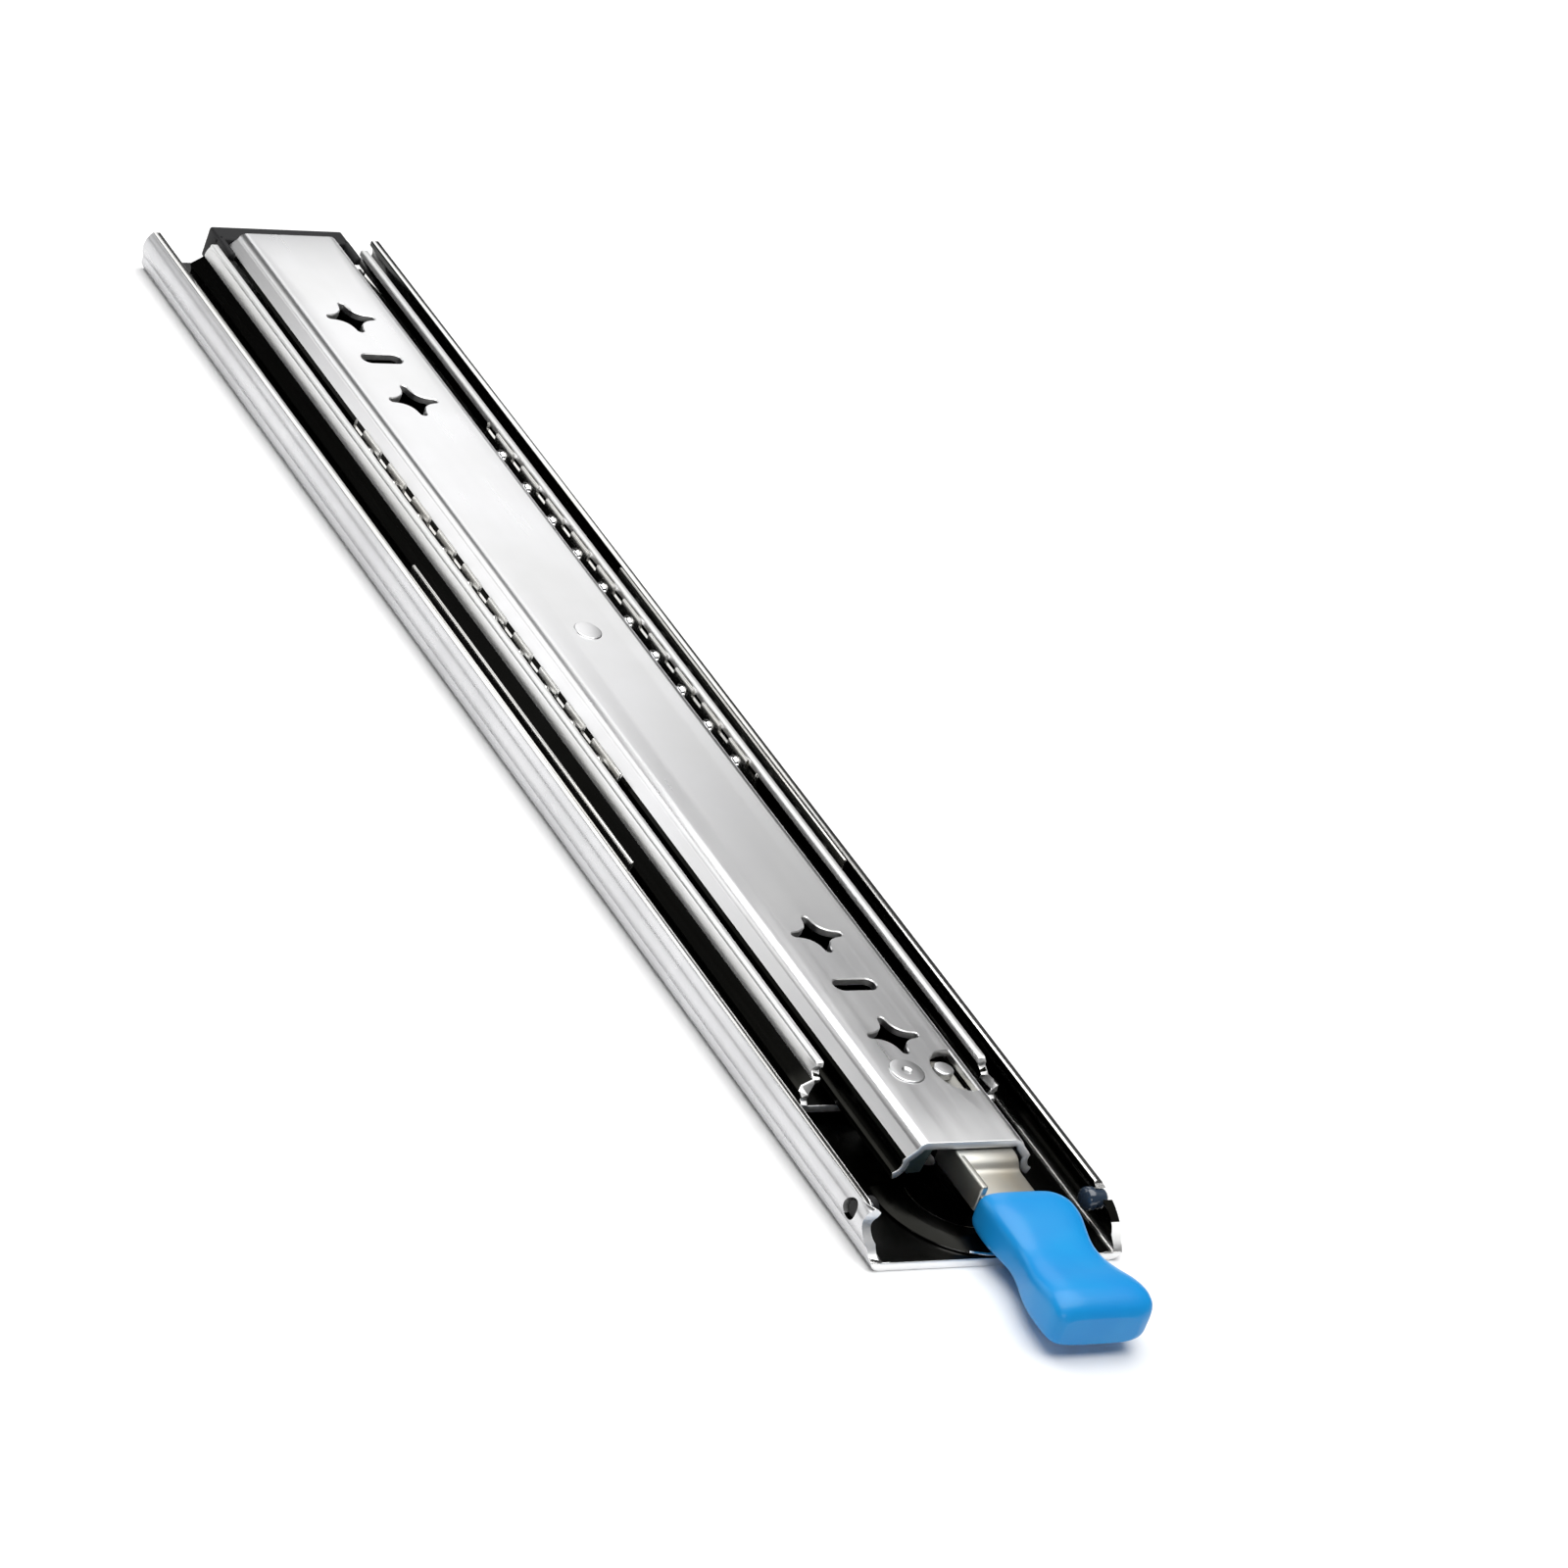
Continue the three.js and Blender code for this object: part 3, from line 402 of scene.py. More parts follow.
def cabinet_path(y):
    """Right half: web, square corner, race arc of radius r + half a sheet, then an upright lip."""
    radius = OUTER_RACE + CABINET_SHEET / 2
    race = arc(OUTER_BALL[0], OUTER_BALL[2], radius, -38, 50)
    web = CABINET_SHEET / 2
    lip = np.array([[race[-1, 0], CABINET_HIGH[2]]])
    bend = arc(race[0, 0] - CABINET_CORNER, web + CABINET_CORNER, CABINET_CORNER, -90, 0, 15)
    half = guarded(np.concatenate([[[0, web]], bend, race, lip]))
    pinch = LIP_PINCH * np.clip((CABINET_LOW[1] + PINCH_START - y) / PINCH_RUN, 0, 1) ** 2
    half[:, 0] -= pinch * np.clip((half[:, 1] - 9) / 3, 0, 1) ** 2
    return mirrored(half)


def wall_end(side):
    """Cutter that leaves a wall's front end sloping back, seen along X.

    On the left, for a from 0 to 90 degrees, y runs back as 8.4 sin(a)^1.25 with a ripple of
    0.5 sin(6 a) that dies out upwards, while z rises as (1 - cos a)^0.75. On the right the end is a
    rounded nose, y = 0.4 + 16 s^1.3 for a share s of the wall's height.
    """
    y0, top, low = CABINET_LOW[1], CABINET_HIGH[2], WALL_FOOT
    s = np.linspace(0, 1, 16)
    a = s * np.pi / 2
    if side < 0:
        back = 8.4 * np.sin(a) ** 1.25 + 0.5 * np.sin(6 * a) * (1 - s)
        rise = (1 - np.cos(a)) ** 0.75
    else:
        back, rise = 0.4 + 16 * s ** 1.3, s
    slope = np.column_stack([y0 + back, low + (top - low) * rise])
    plan = np.concatenate([[[y0 - 3, low]], slope,
                           [[slope[-1, 0] + 0.2, top + 3], [y0 - 3, top + 3]]])
    across = np.array([HALF_WIDTH - 6.5, HALF_WIDTH + 3]) * side
    return stack("wall_end", [np.column_stack([np.full(len(plan), x), plan]) for x in across])


def wall_bore(side, y, z, radius):
    """Round cutter along X through the wall."""
    ring = round_plan(y, z, radius, 28)
    return stack("wall_bore", [np.column_stack([np.full(len(ring), x * side), ring])
                               for x in (HALF_WIDTH - 5, HALF_WIDTH + 3)])


CABINET_REAR = CABINET_HIGH[1]
BUMPER = centre_of("front_bumper_right")
cabinet = channel("cabinet_channel", cabinet_path, CABINET_SHEET, CABINET_LOW[1], CABINET_HIGH[1],
                  extra=np.linspace(CABINET_LOW[1] + 2, CABINET_LOW[1] + PINCH_START + 1, 12))
cabinet_holes = [punch("hole", round_plan(0, sign * (CABINET_REAR - back), SCREW_HOLE_RADIUS),
                       0, CABINET_SHEET) for back in SCREW_HOLE_PLACES for sign in (-1, 1)]
cabinet_holes += [punch("hole", slot_plan(0, sign * (CABINET_REAR - SCREW_SLOT_PLACE), *SCREW_SLOT),
                        0, CABINET_SHEET) for sign in (-1, 1)]
cabinet_holes += [wall_end(side) for side in (-1, 1)]
cabinet_holes += [wall_bore(side, BUMPER[1], BUMPER[2], BUMPER_BORE) for side in (-1, 1)]
cut_away(cabinet, cabinet_holes)
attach(cabinet, "cabinet")
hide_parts("cabinet_member")
print("cabinet channel:", len(cabinet.data.polygons), "faces")

# %% [markdown]
# ## Middle member
# Its wall is S-shaped: hollow on the outside for the outer balls and hollow on the inside for the
# inner ones. Four long slots let a screwdriver through to the cabinet's screws.

# %% Middle member
MIDDLE_WEB = MIDDLE_LOW[2] + INNER_SHEET / 2
MIDDLE_CORNER = 1.2
ACCESS_SLOT = (40, 14)  # length and width
ACCESS_SHARES = (0.15, 0.38, 0.62, 0.85)  # places along the member


def middle_path(y):
    """Right half: web, small corner, outer race arc, inner race arc, upright lip."""
    outer_groove = arc(OUTER_BALL[0], OUTER_BALL[2], OUTER_RACE + INNER_SHEET / 2, 195, 150)
    inner_groove = arc(INNER_BALL[0], INNER_BALL[2], INNER_RACE + INNER_SHEET / 2, -10, 42)
    centre = outer_groove[0, 0] - MIDDLE_CORNER * math.cos(math.radians(20))
    bend = arc(centre, MIDDLE_WEB + MIDDLE_CORNER, MIDDLE_CORNER, -90, -20, 14)
    lip = np.array([[inner_groove[-1, 0], MIDDLE_HIGH[2]]])
    half = np.concatenate([[[0, MIDDLE_WEB]], bend, outer_groove[1:], inner_groove, lip])
    return mirrored(guarded(half))


def middle_front(x, z):
    """Set-back of the crimped wall ends: 5.5 s with a ripple of 0.7 sin(6 pi s).

    The share s grows from 0 at 7 mm above the floor to 1 at the lip, and the web keeps s = 0.
    """
    s = np.clip((z - 7) / (MIDDLE_HIGH[2] - 7), 0, 1) * np.clip((np.abs(x) - 20) / 2, 0, 1)
    return 5.5 * s + 0.7 * np.sin(6 * np.pi * s)


middle = channel("middle_channel", middle_path, INNER_SHEET, MIDDLE_LOW[1], MIDDLE_HIGH[1],
                 extra=[MIDDLE_LOW[1] + FADE], front=middle_front)
length = MIDDLE_HIGH[1] - MIDDLE_LOW[1]
cut_away(middle, [punch("slot", slot_plan(0, MIDDLE_LOW[1] + length * share, *ACCESS_SLOT, True),
                        MIDDLE_LOW[2], MIDDLE_LOW[2] + INNER_SHEET) for share in ACCESS_SHARES])
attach(middle, "middle")
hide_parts("middle_member")
print("middle channel:", len(middle.data.polygons), "faces")

# %% [markdown]
# ## Drawer member
# The innermost channel. Its flat web carries the drawer, and its flanges lean out and hook under
# the inner balls. Star holes, cross slots and the lever's window are punched through the web.

# %% Drawer member
DRAWER_WEB = FACE_HEIGHT - INNER_SHEET / 2
WEB_BOTTOM = FACE_HEIGHT - INNER_SHEET
DRAWER_CORNER = 1.7
STAR_PLACES = (43, 85)  # from either end of the member
CROSS_SLOT_PLACE = 64
CROSS_SLOT = (12.6, 4.6)


def drawer_path(y):
    """Right half: web, rounded shoulder, leaning flange, race arc that ends under the balls."""
    hook = arc(INNER_BALL[0], INNER_BALL[2], INNER_RACE + INNER_SHEET / 2, 165, 255)
    shoulder = hook[0, 0] - 2.8
    bend = arc(shoulder - DRAWER_CORNER, DRAWER_WEB - DRAWER_CORNER, DRAWER_CORNER, 90, 12, 12)
    return mirrored(guarded(np.concatenate([[[0, DRAWER_WEB]], bend, hook])))


def window_plan(x, y, length=16.5, width=8.6):
    """A straight side at x, and a bowed side x - w sin(a)^0.8 towards the pivot, y = l/2 cos(a)."""
    angle = np.radians(np.linspace(0, 180, 25))
    return np.column_stack([x - width * np.sin(angle) ** 0.8, y + length / 2 * np.cos(angle)])


drawer = channel("drawer_channel", drawer_path, INNER_SHEET, DRAWER_LOW[1], DRAWER_HIGH[1])
drawer_plans = []
for end, inward in ((DRAWER_LOW[1], 1), (DRAWER_HIGH[1], -1)):
    drawer_plans += [star_plan(0, end + inward * step) for step in STAR_PLACES]
    drawer_plans.append(slot_plan(0, end + inward * CROSS_SLOT_PLACE, *CROSS_SLOT))
drawer_plans.append(window_plan(PIN[0] + 4.8, PIVOT[1]))
cut_away(drawer, [punch("hole", plan, WEB_BOTTOM, FACE_HEIGHT) for plan in drawer_plans])
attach(drawer, "drawer")
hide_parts("drawer_member")
print("drawer channel:", len(drawer.data.polygons), "faces")

# %% [markdown]
# ## Tab in the left flange
# A small plate closes the front end of the left flange, just behind the cut edge. It is a flat
# outline carried a millimetre along Y, and its end faces are a little smaller to round the rims.

# %% Tab in the left flange
tab_plan = np.array([[-17.4, 10.4], [-15.6, 9.3], [-11.8, 9.6],
                     [-10.6, 16.6], [-16.2, 16.6], [-17.0, 13.5]])
TAB_CENTRE = (-14.2, 13)
TAB_RINGS = ((0.7, 0.95), (0.95, 1.0), (1.75, 1.0), (2.0, 0.95))  # set-back and share of full size
flange_tab = stack("flange_tab", [
    np.column_stack([tab_plan[:, 0] * share + TAB_CENTRE[0] * (1 - share),
                     np.full(len(tab_plan), DRAWER_LOW[1] + back),
                     tab_plan[:, 1] * share + TAB_CENTRE[1] * (1 - share)])
    for back, share in TAB_RINGS])
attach(flange_tab, "drawer")
print("flange tab:", len(flange_tab.data.polygons), "faces")

# %% [markdown]
# ## Turned pieces
# Rivets, pins, bumpers and balls are all surfaces of revolution: a profile (radius, height) turned
# about an axis.

# %% Turning


def turned(name, profile, centre, axis="z", around=40):
    """Points (r cos a, r sin a, h) for each (r, h) of the profile, along the stated axis."""
    profile = np.asarray(profile, dtype=float)
    angle = np.linspace(0, 2 * np.pi, around, endpoint=False)
    radius = np.maximum(profile[:, 0], 1e-3)[:, None]
    height = np.repeat(profile[:, 1][:, None], around, axis=1)
    side, other = radius * np.cos(angle), radius * np.sin(angle)
    order = {"z": (side, other, height), "x": (height, side, other)}[axis]
    return stack(name, np.stack(order, axis=-1) + np.asarray(centre))


def soft_disc(radius, bottom, top, round_by, dimple=0.0):
    """Profile of a head with a rounded rim, and a hollow in its middle as deep as dimple."""
    bend = np.radians(np.linspace(0, 90, 6))
    rim = np.column_stack([radius - round_by + round_by * np.cos(bend),
                           top - round_by + round_by * np.sin(bend)])
    start = [[0, bottom], [radius, bottom]]
    middle_of_head = [[0, top]]
    if dimple:
        middle_of_head = [[1.5, top], [1.15, top - dimple * 0.6], [0.5, top - dimple],
                          [0, top - dimple]]
    return np.concatenate([start, rim, middle_of_head])


def rivet(name, centre, shank, head, bottom, under, top, foot=None, dimple=0.0):
    """Shank from bottom up to the head's underside, with an optional flange at the foot."""
    low = [[0, bottom], [foot or shank, bottom]]
    if foot:
        low += [[foot, bottom + 1.1], [shank, bottom + 1.2]]
    body = soft_disc(head, under, top, min(0.45, (top - under) * 0.8), dimple)[1:]
    profile = np.concatenate([low, [[shank, under]], body])
    return turned(name, profile, [centre[0], centre[1], 0])


HEAD_SEAT = FACE_HEIGHT - 0.1  # the heads start just inside the web, so no gap shows
low, high = span("lever_pivot_rivet")
pivot_rivet = rivet("pivot_rivet", PIVOT, 3.0, 4.75, low[2], HEAD_SEAT, FACE_HEIGHT + 0.38,
                    foot=4.8, dimple=0.45)
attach(pivot_rivet, "drawer")
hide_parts("lever_pivot_rivet")

low, high = span("extension_stop_rivet")
stop_at = (low + high) / 2
stop_rivet = rivet("stop_rivet", stop_at, 2.5, 3.9, low[2], HEAD_SEAT, FACE_HEIGHT + 0.28)
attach(stop_rivet, "drawer")
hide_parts("extension_stop_rivet")

low, high = span("lever_stop_pin")
stop_pin = turned("stop_pin", np.concatenate([[[0, low[2]], [1.9, low[2]], [1.9, low[2] + 2.3]],
                                              soft_disc(2.7, low[2] + 2.3, high[2], 0.5)[1:]]),
                  [PIN[0], PIN[1], 0])
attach(stop_pin, "lever")
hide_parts("lever_stop_pin")

small_rivets = []
for node, body in (("catch_rivet_left", "cabinet"), ("catch_rivet_right", "cabinet"),
                   ("rear_bumper_rivet", "cabinet"), ("closing_bumper_rivet", "middle")):
    low, high = span(node)
    at = (low + high) / 2
    head = (high[0] - low[0]) / 2
    piece = rivet("fine_" + node, at, head - 0.3, head, low[2], high[2] - 0.8, high[2])
    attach(piece, body)
    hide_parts(node)
    small_rivets.append(piece)
print("rivets:", 3 + len(small_rivets))

# %% [markdown]
# ## Bumpers
# Rubber pegs sit in the front ends of the outer races. A black horseshoe behind the drawer member
# takes the bump when the drawer shuts.

# %% Front bumpers
bumpers = []
for side, label in ((-1, "left"), (1, "right")):
    at = centre_of("front_bumper_" + label)
    bend = np.radians(np.linspace(0, 90, 8))
    nose = np.column_stack([3.0 * np.sin(bend), 30.3 + 1.5 * (1 - np.cos(bend))])
    shank = [[3.0, 33.2], [2.45, 33.4], [2.45, 36.4], [2.1, 36.9], [0, 37.1]]
    profile = np.concatenate([nose, shank])
    profile[:, 1] *= side
    piece = turned("race_bumper_" + label, profile, [0, at[1], at[2]], axis="x", around=36)
    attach(piece, "cabinet")
    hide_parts("front_bumper_" + label)
    bumpers.append(piece)

print("front bumpers:", len(bumpers))

# %% [markdown]
# ## Blocks with round edges
# The horseshoe and the pad behind it are moulded blocks, and so are parts of the lever. Each is a
# stack of round-cornered plans that grow and shrink again near the bottom and the top.

# %% Rounded blocks and the horseshoe
BLOCK_CORNERS = ((-1, -1), (1, -1), (1, 1), (-1, 1))  # from each plan corner towards the middle


def rounded_block(name, low, high, radius, rings=5):
    """Box whose plan has round corners and whose top and bottom rims follow a quarter circle."""
    low, high = np.asarray(low, float), np.asarray(high, float)
    quarter = np.radians(np.linspace(0, 90, rings))
    rise = radius * (1 - np.cos(quarter))
    inset = radius * (1 - np.sin(quarter))
    heights = np.concatenate([low[2] + rise, high[2] - rise[::-1]])
    plan_corners = ((high[0], high[1]), (low[0], high[1]), (low[0], low[1]), (high[0], low[1]))
    corner = np.radians(np.linspace(0, 90, 6))
    solid = []
    for z, pulled in zip(heights, np.concatenate([inset, inset[::-1]])):
        plan = []
        for turn, (cx, cy) in enumerate(plan_corners):
            sx, sy = BLOCK_CORNERS[turn]
            angle = corner + turn * math.pi / 2
            plan.append(np.column_stack([cx + sx * radius + (radius - pulled) * np.cos(angle),
                                         cy + sy * radius + (radius - pulled) * np.sin(angle)]))
        plan = np.concatenate(plan)
        solid.append(np.column_stack([plan, np.full(len(plan), z)]))
    return stack(name, solid)


low, high = span("closing_bumper")
ARM_WIDTH = 2.0
arm_front, arm_rear, arm_bottom = low[1] + 11.1, high[1] - 5, high[2] - 2.4
foot_top = low[2] + 1.6
horseshoe = joined("horseshoe", [
    rounded_block("back", [low[0], high[1] - 7, low[2]], high, 0.8),
    rounded_block("arm", [low[0], arm_front, arm_bottom],
                  [low[0] + ARM_WIDTH, arm_rear, high[2]], 0.6),
    rounded_block("arm", [high[0] - ARM_WIDTH, arm_front, arm_bottom],
                  [high[0], arm_rear, high[2]], 0.6),
    rounded_block("foot", [-9, low[1], low[2]], [9, arm_rear, foot_top], 0.6),
])
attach(horseshoe, "middle")
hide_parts("closing_bumper")
low, high = span("rear_bumper")
rear_pad = rounded_block("rear_pad", low, high, 0.9)
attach(rear_pad, "cabinet")
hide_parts("rear_bumper")
bumpers += [horseshoe, rear_pad]
print("all bumpers:", len(bumpers))

# %% [markdown]
# ## Balls and cages
# Each row of balls is one piece, riding on the cage that spaces it. A cage is a strip of steel
# with a round window for each ball; the inner cage's top edge is notched between the windows.

# %% Balls and cages
CAGE_SHEET = 0.9
WINDOW_CLEARANCE = 0.25
NOTCH_SPACING = 8  # from a ball's centre to the notch beside it


def ball_row(name, nodes, radius):
    """Spheres (r sin b cos a, r sin b sin a, r cos b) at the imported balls' centres."""
    b = np.linspace(0, np.pi, 17)
    profile = np.column_stack([radius * np.sin(b), -radius * np.cos(b)])
    return joined(name, [turned("ball", profile, centre_of(node), around=28) for node in nodes])


def cage_strip(name, path, low, high, places, centre, radius, notch_top):
    """Thin strip along Y with a bore for each ball and a notch between bores."""
    strip = channel(name, lambda y: path, CAGE_SHEET, low, high)
    tools = []
    for y in places:
        ring = round_plan(y, centre[2], radius, 20)
        tools.append(stack("bore", [np.column_stack([np.full(len(ring), x), ring])
                                    for x in (centre[0] - 3, centre[0] + 3)]))
    if notch_top:
        between = np.concatenate([[places[0] - NOTCH_SPACING], places[:-1] + NOTCH_SPACING,
                                  [places[-1] + NOTCH_SPACING]])
        for y in between:
            plan = np.array([[y - 2.6, notch_top - 2.1], [y + 2.6, notch_top - 2.1],
                             [y + 3.1, notch_top + 2], [y - 3.1, notch_top + 2]])
            tools.append(stack("notch", [np.column_stack([np.full(4, x), plan])
                                         for x in (centre[0] - 4, centre[0] + 4)]))
    return cut_away(strip, [joined("tool", tools)])


ball_pieces, cage_pieces = [], []
for side, label in ((-1, "left"), (1, "right")):
    for kind, ball_radius in (("outer", OUTER_BALL_RADIUS), ("inner", INNER_BALL_RADIUS)):
        body = f"{kind}_cage_{label}"
        nodes = [node for node in frame["record"]["behaviour"]["bodies"][body] if "ball" in node]
        nodes = sorted(nodes, key=lambda node: centre_of(node)[1])
        places = np.array([centre_of(node)[1] for node in nodes])
        at = centre_of(nodes[0])
        low, high = span(body)
        path = np.array([[at[0], low[2]], [at[0], high[2]]])
        top = None
        if kind == "inner":
            path = np.array([[at[0] + side * 1.7, low[2]], [at[0] + side * 0.75, at[2] - 1.8],
                             [at[0] + side * 0.1, at[2]], [at[0] - side * 0.25, at[2] + 2],
                             [at[0] - side * 0.5, high[2]]])
            top = high[2]
        balls = ball_row(f"{kind}_balls_{label}", nodes, ball_radius)
        strip = cage_strip(f"{kind}_strip_{label}", path, low[1], high[1], places, at,
                           ball_radius + WINDOW_CLEARANCE, top)
        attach(balls, body)
        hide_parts(*nodes)
        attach(strip, body)
        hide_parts(f"{kind}_cage_{label}")
        ball_pieces.append(balls)
        cage_pieces.append(strip)
print("ball rows:", len(ball_pieces), "cages:", len(cage_pieces))

# %% [markdown]
# ## Lock lever
# A stamped lever: a flat hub under the web, a step down, and an upright wall along its left edge.
# It is made as one bent strip with a flange. The tooth behind the step catches the cabinet member.

# %% Lock lever
LEVER_LOW, LEVER_HIGH = span("lock_lever")
HANDLE_LOW, HANDLE_HIGH = span("lever_handle")
LEVER_SHEET = 2.0
BAR_WIDTH = 17.1
LEFT = PIVOT[0] - 0.4
RIGHT = LEFT + BAR_WIDTH
STEP = DRAWER_LOW[1] - 1.5  # where the bar steps down
STEP_DROP = 2.6
WALL_DEPTH = 7.6
CATCH_RADIUS = 23
CATCH_Y = span("lock_catch")[0][1] + CATCH_RADIUS


def lever_path(y_start):
    """Middle line of the bar seen from the side, as (y, z): level, a step down, level again.

    In the step z = low + drop / (1 + exp(-1.6 u)), for a distance u along Y from its middle.
    """
    top = LEVER_HIGH[2] - LEVER_SHEET / 2
    low = top - STEP_DROP
    y = np.linspace(STEP + 3, STEP - 8, 23)
    blend = 1 / (1 + np.exp(-(y - (STEP - 2.4)) * 1.6))
    step = np.column_stack([y, low + (top - low) * blend])
    return np.concatenate([[[y_start, top], [STEP + 4, top]], step, [[HANDLE_HIGH[1] - 5, low]]])


def bar(name, x0, x1, path):
    """Strip of lever sheet between x0 and x1 that follows a (y, z) path, with rounded edges."""
    near_left, near_right = rounded_ends(x0, x1)
    rings = []
    for x, pulled in near_left + near_right:
        loop = outline(guarded(path), LEVER_SHEET, pulled)
        rings.append(np.column_stack([np.full(len(loop), x), loop]))
    return stack(name, rings)


def plan_plate(name, plan, bottom, top):
    """Plate over a plan outline, its rims rounded."""
    near_bottom, near_top = rounded_ends(bottom, top)
    return stack(name, [np.column_stack([grown(plan, -by), np.full(len(plan), z)])
                        for z, by in near_bottom + near_top])


hub_left, hub_right = PIVOT[0] - 7.4, RIGHT - 0.7
hub_front, hub_rear = PIVOT[1] - 9.4, PIVOT[1] + 7.2
corner = np.radians(np.linspace(0, 90, 8))
hub_corners = ((hub_right - 4, hub_rear - 4, 4, 0),  # centre x, centre y, radius, first angle
               (hub_left + 7, hub_rear - 7, 7, math.pi / 2),
               (hub_left + 7, hub_front + 7, 7, math.pi),
               (hub_right - 2, hub_front + 2, 2, -math.pi / 2))
hub_plan = np.concatenate([
    np.column_stack([cx + r * np.cos(corner + turn), cy + r * np.sin(corner + turn)])
    for cx, cy, r, turn in hub_corners])
hub = plan_plate("hub", hub_plan, LEVER_HIGH[2] - LEVER_SHEET, LEVER_HIGH[2] - 0.02)
long_bar = bar("long_bar", LEFT + 0.3, RIGHT, lever_path(PIVOT[1] - 4))
side_wall = rounded_block("side_wall", [LEFT, HANDLE_HIGH[1] - 1.0, LEVER_HIGH[2] - WALL_DEPTH],
                          [LEFT + LEVER_SHEET, STEP + 8, LEVER_HIGH[2] - 0.1], 0.6)
tooth = rounded_block("tooth", [PIVOT[0] + 8, CATCH_Y - 4, LEVER_LOW[2]],
                      [PIVOT[0] + 13, CATCH_Y - 2, LEVER_HIGH[2] - 4], 0.5)
lever = joined("lever_plate", [hub, long_bar, side_wall, tooth])
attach(lever, "lever")
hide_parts("lock_lever")
print("lever:", len(lever.data.polygons), "faces")

# %% [markdown]
# ## Grip
# A moulded grip with a waist for a thumb. At each place along its length the section is a
# superellipse |x/a|^n + |z/c|^n = 1, whose half width a and half height c follow smooth curves.

# %% Grip
SQUARENESS = 4.4  # the superellipse's power: 2 is an ellipse, and more is squarer


def grip_surface(name, low, high):
    """Rings (x0 + a sgn(cos t)|cos t|^(2/n), y, z0 + c sgn(sin t)|sin t|^(2/n)) along Y.

    Both flanks, the top and the bottom are smooth curves through stated shares of the grip's box.
    """
    t = np.linspace(0, 2 * np.pi, 97)[:-1]
    share = 0.5 - 0.5 * np.cos(np.linspace(0, np.pi, 61))
    keys = [0.0, 0.02, 0.08, 0.18, 0.28, 0.38, 0.48, 0.60, 0.70, 0.80, 0.90, 0.96, 0.99, 1.0]
    flank_left = [0.16, 0.07, 0.05, 0.045, 0.06, 0.10, 0.105,
                  0.05, 0.01, 0.0, 0.0, 0.01, 0.05, 0.10]
    flank_right = [0.62, 0.76, 0.86, 0.89, 0.87, 0.83, 0.82,
                   0.86, 0.92, 0.96, 0.96, 0.93, 0.86, 0.78]
    top = [0.70, 0.90, 0.99, 1.0, 0.95, 0.87, 0.83, 0.85, 0.93, 1.0, 1.0, 0.90, 0.76, 0.66]
    bottom = [0.36, 0.18, 0.10, 0.08, 0.09, 0.10, 0.09, 0.04, 0.01, 0.0, 0.0, 0.03, 0.08, 0.14]

    def smooth(values):
        """Values along the grip, blurred so the flanks have no corners."""
        along = np.interp(share, keys, values)
        return np.convolve(np.pad(along, 3, mode="edge"), np.ones(7) / 7, mode="valid")

    size = high - low
    left, right = (low[0] + smooth(flank) * size[0] for flank in (flank_left, flank_right))
    floor_z, crest = (low[2] + smooth(line) * size[2] for line in (bottom, top))
    y = high[1] + (low[1] - high[1]) * share
    power = 2 / SQUARENESS
    cx = np.sign(np.cos(t)) * np.abs(np.cos(t)) ** power
    cz = np.sign(np.sin(t)) * np.abs(np.sin(t)) ** power
    rings = np.stack([(left + right)[:, None] / 2 + (right - left)[:, None] / 2 * cx,
                      np.repeat(y[:, None], len(t), axis=1),
                      (floor_z + crest)[:, None] / 2 + (crest - floor_z)[:, None] / 2 * cz],
                     axis=-1)
    return stack(name, rings)


grip = grip_surface("grip", HANDLE_LOW, HANDLE_HIGH)
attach(grip, "lever")
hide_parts("lever_handle")
print("grip:", len(grip.data.polygons), "faces")

# %% [markdown]
# ## Lever spring
# A wire carried round the pivot: a helix with two straight legs.

# %% Spring
WIRE_RADIUS = 0.45
COIL_RADIUS = 4.6
COIL_TURNS = 2.35
COIL_START = 200  # degrees round the pivot
LEG = 8.0


def wire(name, path, radius, around=14):
    """Circle of the wire's radius carried along a path of points."""
    run = np.gradient(path, axis=0)
    run /= np.linalg.norm(run, axis=1)[:, None]
    up = np.array([0, 0, 1.0])
    side = np.cross(run, up)
    side /= np.linalg.norm(side, axis=1)[:, None]
    other = np.cross(side, run)
    angle = np.linspace(0, 2 * np.pi, around, endpoint=False)
    circle = (side[:, None] * np.cos(angle)[:, None] + other[:, None] * np.sin(angle)[:, None])
    return stack(name, path[:, None] + radius * circle)


low, high = span("lever_spring")
turns = np.radians(COIL_START + 360 * COIL_TURNS * np.linspace(0, 1, 90))
z = np.linspace(low[2] + WIRE_RADIUS, high[2] - WIRE_RADIUS, len(turns))
coil = np.column_stack([PIVOT[0] + COIL_RADIUS * np.cos(turns),
                        PIVOT[1] + COIL_RADIUS * np.sin(turns), z])
legs = [coil[end] + sign * LEG * np.array([-math.sin(turns[end]), math.cos(turns[end]), 0])
        for end, sign in ((0, -1), (-1, 1))]
spring = wire("fine_spring", np.concatenate([[legs[0]], coil, [legs[1]]]), WIRE_RADIUS)
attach(spring, "drawer")
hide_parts("lever_spring")
print("spring:", len(spring.data.polygons), "faces")

# %% [markdown]
# ## Catch
# A crescent of sheet on the floor of the cabinet member. Its outer edge slopes so the tooth rides
# up.

